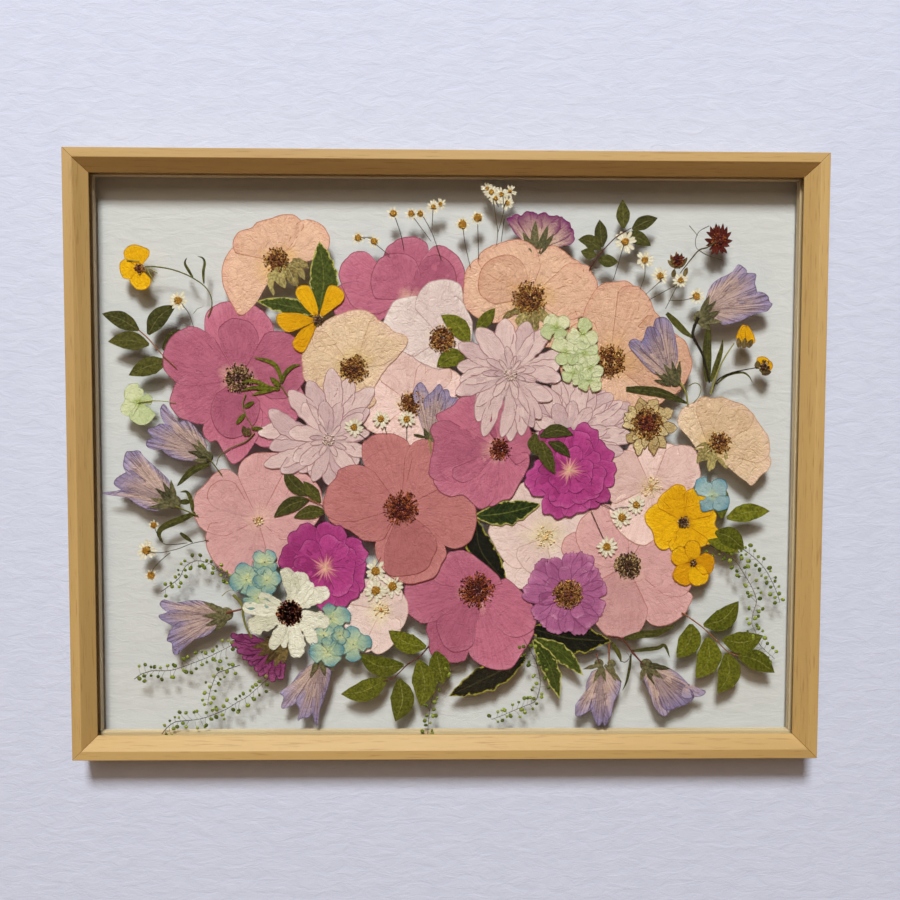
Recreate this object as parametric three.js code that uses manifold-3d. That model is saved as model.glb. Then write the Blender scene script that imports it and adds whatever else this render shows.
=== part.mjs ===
// A double-glazed wooden picture frame holding pressed flowers and leaves between its two panes.
// Millimetres. +X to the viewer's right, +Z up, -Y towards the viewer.
// The origin is the notch of the hanger that takes the wall nail, in the plane of the frame's back.
import * as THREE from "three";
import Module from "manifold-3d";
import { mergeVertices } from "three/addons/utils/BufferGeometryUtils.js";

const wasm = await Module();
wasm.setup();

// Driving dimensions
const GLASS_WIDTH = 508;
const GLASS_HEIGHT = 406.4;
const GLASS_THICKNESS = 2;
const LIP_COVER = 6.35;
const RAIL_WIDTH = 15;
const RAIL_DEPTH = 24;
const RIM_WIDTH = 6.5;
const LIP_BACK = 15.1;
const LIP_FRONT = 16.2;
const MITRE_CLEARANCE = 0.05;
const PANE_CLEARANCE = 0.3;
const REAR_PANE_BACK = 8;
const FRONT_PANE_BACK = 13;
const STRIP_BACK = 2;
const STRIP_THICKNESS = 5.8;
const HANG_HEIGHT = 202.5;
const HANGER_WIDTH = 44;
const HANGER_TOP = 6.5;
const HANGER_TOOTH = 1.6;
const HANGER_TEETH = 9;
const HANGER_THICKNESS = 0.8;
const HANGER_CLEARANCE = 0.1;
const PETAL_THICKNESS = 0.15;
const FIRST_LAYER = REAR_PANE_BACK + GLASS_THICKNESS + 0.1;
const LAYER_PITCH = 0.28;

const SIGHT_WIDTH = GLASS_WIDTH - 2 * LIP_COVER;
const SIGHT_HEIGHT = GLASS_HEIGHT - 2 * LIP_COVER;

// Everything is laid out facing the viewer: x right, y up from the frame's centre, z forward from
// the frame's back. The outer group turns that upright and lowers it to hang from the origin.
const frame = new THREE.Group();
frame.rotation.x = Math.PI / 2;
frame.position.z = -HANG_HEIGHT;

function finish(color, roughness, metalness = 0) {
  return new THREE.MeshStandardMaterial({ color, roughness, metalness });
}

function add(name, geometry, material) {
  const mesh = new THREE.Mesh(geometry, material);
  mesh.name = name;
  frame.add(mesh);
  return mesh;
}

// Mitred rails: one section with a back rebate for the panes and a sloping inner face.
const rebate = LIP_COVER + PANE_CLEARANCE;
const railSection = [
  [RAIL_WIDTH, 0],
  [RAIL_WIDTH, RAIL_DEPTH],
  [RAIL_WIDTH - RIM_WIDTH, RAIL_DEPTH],
  [0, LIP_FRONT],
  [0, LIP_BACK],
  [rebate, LIP_BACK],
  [rebate, 0],
];

function polygon(points) {
  return new THREE.Shape(points.map(([x, y]) => new THREE.Vector2(x, y)));
}

function railGeometry(length, offset) {
  const geometry = new THREE.ExtrudeGeometry(polygon(railSection), { depth: 1, bevelEnabled: false });
  const position = geometry.attributes.position;
  for (let i = 0; i < position.count; i += 1) {
    const outward = position.getX(i);
    const side = position.getZ(i) > 0.5 ? 1 : -1;
    const along = side * (length / 2 + outward - MITRE_CLEARANCE);
    position.setXYZ(i, along, offset / 2 + outward, position.getY(i));
  }
  geometry.computeVertexNormals();
  return geometry;
}

const wood = finish(0xb89a60, 0.6);
const rails = [
  ["rail_top", SIGHT_WIDTH, SIGHT_HEIGHT],
  ["rail_left", SIGHT_HEIGHT, SIGHT_WIDTH],
  ["rail_bottom", SIGHT_WIDTH, SIGHT_HEIGHT],
  ["rail_right", SIGHT_HEIGHT, SIGHT_WIDTH],
];
rails.forEach(([name, length, offset], quarter) => {
  add(name, railGeometry(length, offset), wood).rotation.z = (quarter * Math.PI) / 2;
});

// Two panes, with the pressed flowers in the space between them.
const glass = finish(0xdfe8e4, 0.05);
const panes = { glass_rear: REAR_PANE_BACK, glass_front: FRONT_PANE_BACK };
for (const [name, back] of Object.entries(panes)) {
  const geometry = new THREE.BoxGeometry(GLASS_WIDTH, GLASS_HEIGHT, GLASS_THICKNESS);
  add(name, geometry, glass).position.z = back + GLASS_THICKNESS / 2;
}

// Strips pinned into the rebate behind the panes, the long ones running right across.
const stripWidth = LIP_COVER - PANE_CLEARANCE;
const stripCentreX = SIGHT_WIDTH / 2 + PANE_CLEARANCE + stripWidth / 2;
const stripCentreY = SIGHT_HEIGHT / 2 + PANE_CLEARANCE + stripWidth / 2;
const strips = [
  ["strip_top", GLASS_WIDTH, stripWidth, 0, stripCentreY],
  ["strip_bottom", GLASS_WIDTH, stripWidth, 0, -stripCentreY],
  ["strip_left", stripWidth, SIGHT_HEIGHT, -stripCentreX, 0],
  ["strip_right", stripWidth, SIGHT_HEIGHT, stripCentreX, 0],
];
for (const [name, width, height, x, y] of strips) {
  const geometry = new THREE.BoxGeometry(width, height, STRIP_THICKNESS);
  add(name, geometry, wood).position.set(x, y, STRIP_BACK + STRIP_THICKNESS / 2);
}

// Toothed hanger plate, nailed to the back of the top rail with its teeth hanging over the rebate.
const toothPitch = HANGER_WIDTH / HANGER_TEETH;
const hangerOutline = [[HANGER_WIDTH / 2, HANGER_TOP], [-HANGER_WIDTH / 2, HANGER_TOP]];
for (let tooth = 0; tooth < HANGER_TEETH; tooth += 1) {
  const left = -HANGER_WIDTH / 2 + tooth * toothPitch;
  hangerOutline.push([left, -HANGER_TOOTH], [left + toothPitch / 2, 0]);
}
hangerOutline.push([HANGER_WIDTH / 2, -HANGER_TOOTH]);
const hanger = add(
  "hanger",
  new THREE.ExtrudeGeometry(polygon(hangerOutline), { depth: HANGER_THICKNESS, bevelEnabled: false }),
  finish(0xb08d4a, 0.4, 1),
);
hanger.position.set(0, HANG_HEIGHT, -HANGER_THICKNESS - HANGER_CLEARANCE);

// Pressed specimens are flat solids, each in one of ten thin layers, layer 0 on the rear pane.
function sheet(points) {
  return new THREE.ExtrudeGeometry(polygon(points), { depth: PETAL_THICKNESS, bevelEnabled: false });
}

function specimen(name, color, layer, geometry) {
  add(name, geometry, finish(color, 0.9)).position.z = FIRST_LAYER + layer * LAYER_PITCH;
}

function solid(geometry) {
  geometry.deleteAttribute("normal");
  geometry.deleteAttribute("uv");
  const merged = mergeVertices(geometry);
  return new wasm.Manifold(new wasm.Mesh({
    numProp: 3,
    vertProperties: Float32Array.from(merged.attributes.position.array),
    triVerts: Uint32Array.from(merged.index.array),
  }));
}

function joined(outlines) {
  let whole = solid(sheet(outlines[0]));
  for (const outline of outlines.slice(1)) {
    whole = whole.add(solid(sheet(outline)));
  }
  const { vertProperties, triVerts } = whole.getMesh();
  const geometry = new THREE.BufferGeometry();
  geometry.setAttribute("position", new THREE.BufferAttribute(vertProperties, 3));
  geometry.setIndex(new THREE.BufferAttribute(triVerts, 1));
  geometry.computeVertexNormals();
  return geometry;
}

// A petal or leaf from base to tip, widest in the middle.
function blade([baseX, baseY], [tipX, tipY], width) {
  const length = Math.hypot(tipX - baseX, tipY - baseY);
  const alongX = (tipX - baseX) / length;
  const alongY = (tipY - baseY) / length;
  const profile = [[0, 0.12], [0.2, 0.7], [0.5, 1], [0.8, 0.65], [1, 0.08]];
  const side = (sign) => profile.map(([t, w]) => [
    baseX + alongX * t * length - (alongY * sign * w * width) / 2,
    baseY + alongY * t * length + (alongX * sign * w * width) / 2,
  ]);
  return [...side(-1), ...side(1).reverse()];
}

function disc([x, y], radius, sides = 10) {
  return Array.from({ length: sides }, (_, i) => {
    const angle = (i * 2 * Math.PI) / sides;
    return [x + radius * Math.cos(angle), y + radius * Math.sin(angle)];
  });
}

function stem(points, width) {
  const edge = (sign) => points.map(([x, y], i) => {
    const before = points[Math.max(i - 1, 0)];
    const after = points[Math.min(i + 1, points.length - 1)];
    const angle = Math.atan2(after[1] - before[1], after[0] - before[0]);
    return [x - (Math.sin(angle) * sign * width) / 2, y + (Math.cos(angle) * sign * width) / 2];
  });
  return [...edge(-1), ...edge(1).reverse()];
}

// A many-petalled flower whose outline runs from petal tip to the notch before the next.
function rosette([x, y], tips, notch = 0.78) {
  const points = [];
  tips.forEach((tip, i) => {
    const next = tips[(i + 1) % tips.length];
    points.push(tip);
    points.push([x + ((tip[0] + next[0]) / 2 - x) * notch, y + ((tip[1] + next[1]) / 2 - y) * notch]);
  });
  return points;
}

// Roses and other broad-petalled flowers, pressed open
specimen("mauve_top", 0xb8607f, 0, sheet([
  [-72.5, 116], [-76.5, 130], [-72, 139.5], [-65, 145], [-52, 143], [-46, 142], [-38, 152], [-25, 155.5],
  [-13, 148.5], [-5, 149.3], [4, 144], [11, 135], [11, 124], [9.5, 112], [-4, 104], [-30, 100], [-56, 102],
]));
specimen("peach_large", 0xdcb490, 1, sheet([
  [10.5, 110], [12, 131], [20, 140.5], [30, 149.5], [50, 154], [64, 147.5], [76, 149.5], [88, 141],
  [99, 136], [105, 125], [104.5, 113], [96, 101], [84, 92], [66, 86], [46, 88], [28, 94], [13, 106],
]));
specimen("white_lavender", 0xd9d0d2, 2, sheet([
  [-45, 98], [-38, 110.5], [-21, 114], [-18, 120], [-8, 125.5], [5, 124.5], [10.5, 115], [17, 97],
  [14, 74], [4, 62], [-12, 58], [-28, 62], [-40, 74], [-46, 86],
]));
specimen("cream_rose", 0xdfc9a4, 3, sheet([
  [-97, 88], [-85, 97], [-68, 104], [-56, 103.5], [-38, 89.5], [-28, 85], [-30, 72], [-34, 58],
  [-42, 44], [-58, 34], [-76, 36], [-92, 46], [-102, 59], [-103, 72],
]));
specimen("pink_cream", 0xdab6a4, 1, sheet([
  [-55, 60], [-45, 68], [-30, 57], [-12, 56], [-2, 60], [5, 54], [7, 42], [2, 28],
  [-6, 16], [-20, 10], [-36, 10], [-50, 18], [-57, 32], [-59, 46],
]));
specimen("peach_side", 0xe0b295, 2, sheet([
  [-144.5, 100], [-157.5, 121], [-157.8, 133], [-149, 155], [-137, 161], [-120, 169], [-105, 169],
  [-88, 163], [-82.7, 151], [-90, 141], [-110, 136.5], [-105, 126], [-117, 118], [-124, 126.5], [-134, 109.5],
]));
specimen("orange_peach", 0xe2a678, 2, sheet([
  [106, 119], [119, 125], [132, 122], [143, 111], [157, 92], [168, 83], [173, 67], [163, 45],
  [148, 38], [128, 36], [108, 42], [94, 52], [86, 68], [88, 90], [96, 100],
]));
specimen("peach_cream", 0xe0c7a2, 3, sheet([
  [163, 29], [169, 38], [180, 44.5], [195, 44], [210, 38.5], [219, 29], [229, 12], [230.5, -2],
  [217, -19], [206, -11], [200, 0], [195, -8], [185, -9], [179, 0], [176, 15], [164, 23],
]));
specimen("bare_head", 0x6f5228, 5, sheet([
  [124, 28], [130, 33], [137, 36], [148, 42], [152, 36], [160, 35], [158, 28], [163, 22],
  [156, 16], [152, 9], [146, 2], [141, 8], [135, 2], [131, 12], [126, 18],
]));
specimen("pale_pink_left", 0xd9a09b, 1, sheet([
  [-160, -9], [-172, -19], [-180, -32], [-176, -45], [-165, -53], [-170, -64], [-162, -78], [-152, -84],
  [-128, -68], [-108, -55], [-100, -30], [-113, -10], [-118, 4], [-138, 3], [-149, -8],
]));
specimen("white_pink", 0xdcc3b4, 2, sheet([
  [30, -47], [33, -57], [45, -66], [39, -78], [42, -88], [60, -93], [84, -80], [100, -58], [98, -44],
  [76, -28], [45, -36],
]));
specimen("pale_pink_right", 0xdab3a6, 1, sheet([
  [120, 4], [138, 14], [164, 10], [178, 2], [180, -12], [174, -30], [168, -44], [156, -56], [140, -62],
  [126, -56], [116, -40], [114, -12],
]));
specimen("pink_rose_right", 0xdca89e, 0, sheet([
  [90, -55], [100, -42], [138, -50], [166, -70], [175, -90], [174, -105], [163, -117], [150, -120],
  [144, -117], [132, -126.5], [117, -128], [105, -119], [92, -88],
]));
specimen("pale_petals", 0xddc6b0, 2, sheet([
  [-72, -95], [-62, -86], [-48, -84], [-36, -90], [-29, -102], [-30, -116], [-38, -130], [-50, -139],
  [-62, -138], [-71, -126], [-74, -110],
]));
specimen("mauve_left", 0xb5607e, 1, sheet([
  [-165, 106], [-150, 110], [-136, 109], [-121, 95], [-110, 86], [-101, 78], [-100, 62], [-112, 38],
  [-131, 30], [-150, -2], [-156, -3], [-168, 11.5], [-189, 28.5], [-195.5, 40], [-189, 52], [-199, 62],
  [-198.5, 77], [-187, 90], [-178, 92.5],
]));
specimen("mauve_middle", 0xb8557c, 6, sheet([
  [8, 43], [-5, 33], [-12, 18], [-10, 11], [-13, -5], [-10, -18], [2, -27], [11, -26], [25, -35.5],
  [45, -28], [57, -7], [60, 6], [58, 22], [50, 34], [38, 42], [24, 46],
]));
specimen("dusty_rose", 0xb86f70, 5, sheet([
  [-60, 11], [-45, 18], [-26, 10.5], [-12, 13.5], [6, -8], [12, -24.5], [21, -43], [15, -60], [0, -65],
  [-7, -82], [-28, -89.5], [-45, -80], [-60, -58], [-80, -47], [-88, -33], [-84, -19], [-77, -8], [-63, -4],
]));
specimen("mauve_bottom", 0xb4587a, 1, sheet([
  [3, -66], [-12, -84], [-30, -90], [-31.5, -106], [-17, -118], [-13, -137], [-4, -145], [10, -146],
  [16, -141], [30, -150.5], [45, -151], [55, -138], [62, -122], [60, -105], [42, -89], [20, -70],
]));

// Many-petalled lilac and magenta flowers, and the daisies
specimen("lilac_left", 0xccb8b8, 4, sheet(rosette([-84, 13.5], [
  [-112, 48], [-98, 57], [-82, 66], [-68, 60], [-54, 52], [-52, 35], [-52, 16], [-58, -6], [-80, -22],
  [-105, -14], [-120, -12], [-132, -5], [-134, 16], [-127, 35],
])));
specimen("lilac_middle", 0xc7b1b6, 7, sheet(rosette([44, 60], [
  [7, 83], [20, 96], [40, 103], [56, 101], [72, 94], [82, 78], [84, 62], [78, 44], [66, 26], [48, 10],
  [28, 10], [16, 28], [6, 48], [2, 64],
])));
specimen("lilac_right", 0xcba9ad, 3, sheet(rosette([86, 17], [
  [58, 47], [72, 50], [88, 60], [103, 52], [118, 47], [130, 38], [134, 18], [128, 2], [114, -10],
  [92, -16], [70, -12], [54, 4], [50, 26],
])));
specimen("magenta_right", 0xad3a80, 5, sheet([
  [61, 12], [66, 20], [80, 25], [93, 28.5], [105, 23], [110, 13], [119, 2], [121, -8], [119, -25],
  [108, -31], [99, -38], [90, -40], [81, -43], [68, -38], [60, -29], [52, -15], [57, -7],
]));
specimen("magenta_left", 0xae357f, 6, sheet([
  [-81, -44], [-95, -44], [-109, -52], [-122, -71], [-113, -84], [-101, -98], [-88, -109], [-73, -108],
  [-60, -96], [-55, -68], [-65, -56],
]));
specimen("purple_daisy", 0xa9609a, 4, sheet(rosette([86, -96.5], [
  [60, -76], [74, -72], [85, -69], [98, -68], [105, -75], [113, -91], [113, -108], [103, -121],
  [90, -124], [76, -125], [61, -111], [53, -94],
], 0.9)));
specimen("white_daisy", 0xe8e4d0, 8, sheet(rosette([-112, -110], [
  [-142, -116], [-144, -106], [-121, -80], [-103, -81], [-84, -94], [-85, -118], [-96, -133],
  [-107, -142], [-122, -137], [-138, -127],
], 0.62)));

// Yellow flowers
specimen("primrose", 0xe6a800, 4, sheet([
  [141, -40], [150, -27], [162, -18], [176, -21], [191, -32], [194, -54], [184, -62], [157, -66], [148, -60],
]));
specimen("four_petal_yellow", 0xe2b21e, 5, sheet([
  [-107, 116], [-98, 121], [-91, 108], [-84, 120], [-74, 118], [-75, 109], [-88, 99], [-97, 85],
  [-102.5, 74], [-109, 81], [-102, 91], [-113, 88.5], [-120, 101], [-103, 104],
]));
specimen("buttercup", 0xe8bc10, 2, joined([
  disc([-217, 143], 7),
  disc([-215, 124], 7),
  disc([-222, 133], 7),
  stem([[-219, 133.5], [-196, 132.3], [-176, 124.5], [-167.5, 117], [-165.5, 112]], 1.2),
]));

// Bell-shaped flowers pressed from the side
const bells = [
  ["bell_upper_right", 2, [
    [204, 137], [217, 130.5], [217.5, 118], [229, 110], [224.5, 104.5], [205, 97], [186, 96], [180, 98],
    [182, 116], [190, 127],
  ]],
  ["bell_right", 4, [
    [127.5, 80.5], [137, 84], [141.5, 94], [148, 100], [155, 99], [160, 88], [169, 64], [166, 56],
    [145, 60], [135, 70],
  ]],
  ["bell_middle", 4, [
    [-24.5, 47], [-19.5, 54], [-11.5, 47], [-6, 52.5], [2, 44], [7, 42.5], [-5, 33], [-12, 16],
    [-15, 14], [-21, 28],
  ]],
  ["bell_left_upper", 3, [
    [-198.5, 37.5], [-190, 26], [-183, 26.5], [-172, 15], [-168, 2], [-172, -3], [-190, -1], [-203, 7],
    [-212, 9], [-211.5, 20], [-200, 24],
  ]],
  ["bell_left_lower", 2, [
    [-224, 5], [-217, 5], [-203, -9], [-192, -22], [-194, -36], [-216, -35], [-228, -28], [-244, -25],
    [-231, -21.5], [-235.5, -17], [-227, -9.5],
  ]],
  ["bell_bottom_left", 2, [
    [-201, -100.5], [-187, -102], [-163, -105], [-152, -112], [-166, -125], [-190, -134], [-195.5, -139],
    [-196, -119], [-205, -112],
  ]],
  ["bell_bottom", 2, [
    [-100, -145], [-90, -144], [-81, -149], [-87, -170], [-93, -192], [-97, -184], [-107, -188.5],
    [-106, -180], [-118.5, -179], [-119.5, -168],
  ]],
  ["bell_bottom_middle", 3, [
    [104, -150], [109, -144], [118.5, -144], [125, -160], [118, -186], [114, -193], [109, -193],
    [104, -183], [93, -186], [93, -176], [99, -171],
  ]],
  ["bell_bottom_right", 4, [
    [140, -152], [145, -145], [161, -151], [179, -168], [186, -167], [172, -177], [157, -186], [146, -170],
  ]],
];
for (const [name, layer, outline] of bells) {
  specimen(name, 0xa593a8, layer, sheet(outline));
}

// Small-headed flowers pressed from the side
specimen("dianthus_top", 0x9a5f8e, 0, sheet([
  [41, 168], [50, 171], [58, 173.5], [72, 171], [84, 166.5], [89.5, 154.5], [78, 152], [64, 155], [52, 156],
]));
specimen("red_aster", 0x4a1420, 2, sheet([
  [188, 150], [180, 158], [186, 166], [190, 163], [194, 167], [200, 158], [192, 150],
]));
specimen("purple_aster", 0x8a6292, 3, sheet([
  [-154, -125], [-140, -127], [-128, -128], [-118, -142], [-119, -158.5], [-130, -158], [-140, -148],
  [-154, -132],
]));

// Hydrangea florets
const hydrangeas = [
  ["hydrangea_green_left", 0xc4cf9a, 2, [[-220.5, 46, 6.5], [-224, 35, 6], [-215, 31, 8.5]]],
  ["hydrangea_green_middle", 0xccd4a0, 8, [[74, 90, 8], [88, 86, 8], [97, 90, 8], [92, 74, 9], [98, 62, 9]]],
  ["hydrangea_teal_left", 0x6aa5a2, 7, [[-129, -73.5, 9], [-141, -85, 10], [-128, -88, 9], [-136, -100, 9]]],
  ["hydrangea_teal_bottom", 0x5f9fa2, 7, [[-82, -117, 10], [-85, -134, 12], [-67, -132, 11]]],
  ["hydrangea_blue_right", 0xaebccb, 6, [[182, -19, 6.5], [192, -22, 8], [194, -31, 6]]],
];
for (const [name, color, layer, florets] of hydrangeas) {
  specimen(name, color, layer, joined(florets.map(([x, y, radius]) => disc([x, y], radius))));
}

// Leaf sprays
specimen("leaf_spray_left", 0x55551a, 0, joined([
  stem([[-216, 89.5], [-209, 83], [-200, 72.5], [-192, 65]], 1.6),
  blade([-214, 88], [-242, 101], 11),
  blade([-208, 82], [-190.5, 107], 12),
  blade([-208, 82], [-238, 81.5], 13),
  blade([-198, 70], [-224, 58], 12.5),
]));
specimen("leaf_spray_top_right", 0x4f4a1c, 3, joined([
  stem([[99, 134], [104, 141], [110, 148], [118, 156], [127, 162]], 1.6),
  blade([123, 160], [122, 182], 9),
  blade([125, 160.5], [147, 169.5], 9),
  blade([117, 155], [142.5, 150], 10),
  blade([109, 147], [106, 168], 9),
  blade([109, 147], [91, 154], 9),
  blade([103, 140], [119.5, 138.5], 8.5),
]));
specimen("leaf_spray_bottom", 0x70700f, 3, joined([
  stem([[-13, -136], [-20, -142], [-28, -147], [-34, -153], [-42, -158]], 1.6),
  blade([-14, -136], [-42, -123], 14),
  blade([-28, -147], [-63, -140], 14),
  blade([-41, -158], [-76, -169], 15),
  blade([-33, -152], [-37, -189], 16),
  blade([-20, -142], [-19, -178], 16),
]));
specimen("leaf_spray_bottom_right", 0x66660f, 3, joined([
  stem([[170, -112], [182, -120], [192, -129], [201, -138], [209, -141]], 1.6),
  blade([182, -120], [209, -102], 15),
  blade([192, -129], [227, -127], 15),
  blade([206, -140], [236, -154], 14),
  blade([200, -137], [195, -169], 16),
  blade([190, -127], [179, -158], 16),
  blade([176, -116], [165, -143], 16),
]));

export default frame;
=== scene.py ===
import math

import bpy
import numpy as np
from mathutils import Matrix, Vector


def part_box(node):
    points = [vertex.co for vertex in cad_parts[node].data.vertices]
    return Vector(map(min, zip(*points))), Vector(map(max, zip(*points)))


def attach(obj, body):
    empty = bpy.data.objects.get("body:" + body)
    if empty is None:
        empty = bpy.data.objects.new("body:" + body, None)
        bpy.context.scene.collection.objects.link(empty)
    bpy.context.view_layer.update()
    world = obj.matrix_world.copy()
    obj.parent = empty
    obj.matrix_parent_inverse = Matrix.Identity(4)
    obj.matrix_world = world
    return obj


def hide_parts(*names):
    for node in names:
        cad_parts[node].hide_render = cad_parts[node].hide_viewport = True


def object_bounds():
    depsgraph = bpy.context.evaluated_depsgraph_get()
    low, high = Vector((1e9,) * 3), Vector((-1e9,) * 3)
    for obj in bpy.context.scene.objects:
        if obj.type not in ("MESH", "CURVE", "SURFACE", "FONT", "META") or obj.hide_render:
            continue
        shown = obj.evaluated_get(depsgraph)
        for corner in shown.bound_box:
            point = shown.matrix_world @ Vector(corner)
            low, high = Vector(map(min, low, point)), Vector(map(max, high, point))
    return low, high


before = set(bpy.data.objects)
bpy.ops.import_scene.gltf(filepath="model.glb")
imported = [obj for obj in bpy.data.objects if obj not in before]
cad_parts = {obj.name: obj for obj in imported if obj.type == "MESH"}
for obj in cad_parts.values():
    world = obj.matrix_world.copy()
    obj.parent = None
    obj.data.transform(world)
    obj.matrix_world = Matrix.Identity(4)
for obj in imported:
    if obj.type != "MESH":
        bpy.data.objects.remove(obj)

cad_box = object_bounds()

# ---------------------------------------------------------------------------
# The room: the frame hangs on a rolled white wall above a brown floor. One broad
# soft lamp stands above and in front of it, a weaker one at the window and one
# behind for the frame's back, with a little light from everywhere else.
MM = 0.001
glass_low, glass_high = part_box("glass_front")
middle = (glass_low + glass_high) / 2
FRONT_OF_GLASS = glass_low.y
CAMERA_RIGHT = -8.34 * MM
CAMERA_UP = 36.03 * MM
CAMERA_AWAY = 618.2 * MM
CAMERA_AXES = (
    (0.99987, -0.00218, -0.01598),
    (-0.01586, 0.04813, -0.99871),
    (0.00295, 0.99884, 0.04809),
)
LENS = 35.2
WALL_GAP = 1.3 * MM
WALL_SIZE = 3.2
FLOOR_DROP = 1.1

scene = bpy.context.scene
scene.view_settings.view_transform = "Standard"

camera_data = bpy.data.cameras.new("camera")
camera_data.lens = LENS
camera_data.sensor_width = 36
camera_data.clip_start = 0.01
camera = bpy.data.objects.new("camera", camera_data)
scene.collection.objects.link(camera)
camera.matrix_world = Matrix.Translation(
    (middle.x + CAMERA_RIGHT, FRONT_OF_GLASS - CAMERA_AWAY, middle.z + CAMERA_UP)
) @ Matrix(CAMERA_AXES).to_4x4()
scene.camera = camera


def new_tree(name):
    """A material with an empty node tree, and the tree."""
    material = bpy.data.materials.new(name)
    material.use_nodes = True
    material.node_tree.nodes.clear()
    return material, material.node_tree


def add_node(tree, kind, inputs=None, **settings):
    """A shader node with its settings made and its inputs set or linked."""
    made = tree.nodes.new(kind)
    for key, value in settings.items():
        setattr(made, key, value)
    for key, value in (inputs or {}).items():
        if isinstance(value, bpy.types.NodeSocket):
            tree.links.new(value, made.inputs[key])
        else:
            made.inputs[key].default_value = value
    return made


def ramp(tree, factor, *stops):
    """A colour that changes with factor, from stops of (place, colour)."""
    made = add_node(tree, "ShaderNodeValToRGB", {"Fac": factor})
    elements = made.color_ramp.elements
    while len(elements) < len(stops):
        elements.new(0.5)
    for element, (place, color) in zip(elements, stops):
        element.position = place
        element.color = (*color, 1)
    return made.outputs["Color"]


def mixed(tree, factor, one, other, kind="MIX"):
    """Two colours mixed by factor."""
    made = add_node(tree, "ShaderNodeMix", data_type="RGBA", blend_type=kind)
    for key, value in zip((0, 6, 7), (factor, one, other)):
        if isinstance(value, bpy.types.NodeSocket):
            tree.links.new(value, made.inputs[key])
        else:
            made.inputs[key].default_value = value if key == 0 else (*value, 1)
    return made.outputs[2]


def sums(tree, operation, one, other=0.0):
    """One sum on numbers or sockets."""
    return add_node(tree, "ShaderNodeMath", {0: one, 1: other}, operation=operation).outputs[0]


def noise(tree, place, scale, detail=2.0, roughness=0.5, distortion=0.0):
    """A noise value at place."""
    return add_node(tree, "ShaderNodeTexNoise", {
        "Vector": place, "Scale": scale, "Detail": detail, "Roughness": roughness,
        "Distortion": distortion,
    }).outputs["Fac"]


def object_place(tree, stretch=(1, 1, 1)):
    """The place on the piece, in metres, with each axis stretched."""
    place = add_node(tree, "ShaderNodeTexCoord").outputs["Object"]
    return add_node(tree, "ShaderNodeMapping", {"Vector": place, "Scale": stretch}).outputs[0]


def show(tree, shader):
    """Puts a shader on the surface."""
    add_node(tree, "ShaderNodeOutputMaterial", {"Surface": shader})


def plane(name, width, depth, matrix):
    """A flat square of the room."""
    mesh = bpy.data.meshes.new(name)
    corners = [(x * width / 2, y * depth / 2, 0) for x, y in ((-1, -1), (1, -1), (1, 1), (-1, 1))]
    mesh.from_pydata(corners, [], [(0, 1, 2, 3)])
    made = bpy.data.objects.new(name, mesh)
    made.matrix_world = matrix
    scene.collection.objects.link(made)
    return made


wall = plane(
    "wall", WALL_SIZE, WALL_SIZE,
    Matrix.Translation((0, cad_box[1].y + WALL_GAP, middle.z)) @ Matrix.Rotation(math.pi / 2, 4, "X"),
)
floor = plane(
    "floor", WALL_SIZE * 2, WALL_SIZE * 2, Matrix.Translation((0, 0, middle.z - FLOOR_DROP))
)

paint, tree = new_tree("wall_paint")
rolled = noise(tree, object_place(tree, (0.4, 1, 1)), 150, 4, 0.65, 0.6)
painted = add_node(tree, "ShaderNodeBsdfPrincipled", {
    "Base Color": ramp(tree, rolled, (0.3, (0.51, 0.55, 0.67)), (0.7, (0.55, 0.59, 0.71))),
    "Roughness": 0.9,
    "Specular IOR Level": 0.1,
    "Normal": add_node(tree, "ShaderNodeBump", {
        "Strength": 0.5, "Distance": 0.0012, "Height": rolled,
    }).outputs[0],
})
unseen = add_node(tree, "ShaderNodeBsdfTransparent")
behind = add_node(tree, "ShaderNodeNewGeometry").outputs["Backfacing"]
show(tree, add_node(tree, "ShaderNodeMixShader", {
    0: behind, 1: painted.outputs[0], 2: unseen.outputs[0],
}).outputs[0])
wall.data.materials.append(paint)

boards, tree = new_tree("floor_paint")
worn = noise(tree, object_place(tree), 6, 4)
show(tree, add_node(tree, "ShaderNodeBsdfPrincipled", {
    "Base Color": ramp(tree, worn, (0.3, (0.26, 0.15, 0.075)), (0.7, (0.36, 0.21, 0.1))),
    "Roughness": 0.8,
}).outputs[0])
floor.data.materials.append(boards)


def lamp(name, place, watts, size, color):
    """A soft square lamp that faces the middle of the frame."""
    data = bpy.data.lights.new(name, "AREA")
    data.energy = watts
    data.size = size
    data.color = color
    made = bpy.data.objects.new(name, data)
    made.location = middle + Vector(place)
    made.rotation_euler = (middle - made.location).to_track_quat("-Z", "Y").to_euler()
    scene.collection.objects.link(made)


lamp("lamp_above", (-0.4, -3.4, 3.45), 310, 1.0, (0.97, 0.98, 1))
lamp("lamp_window", (-1.2, -4.2, 2.4), 46, 1.8, (1, 0.85, 0.7))
lamp("lamp_behind", (-0.9, 1.6, 1.1), 26, 1.2, (1, 0.98, 0.95))
world = bpy.data.worlds.new("room_light")
world.use_nodes = True
world.node_tree.nodes["Background"].inputs["Color"].default_value = (1, 0.84, 0.68, 1)
world.node_tree.nodes["Background"].inputs["Strength"].default_value = 0.055
scene.world = world

# ---------------------------------------------------------------------------
# The rails: four lengths of clear-sealed lime wood, mitred and glued at the
# corners, with a flat rim, a sloping inner face and a rebate cut behind.
RAIL_EDGE = 0.35 * MM
SHARP_CORNER = math.radians(20)
WELD_REACH = 0.01 * MM
ALONG_GRAIN = 0.12
ACROSS_GRAIN = 2.2


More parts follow.
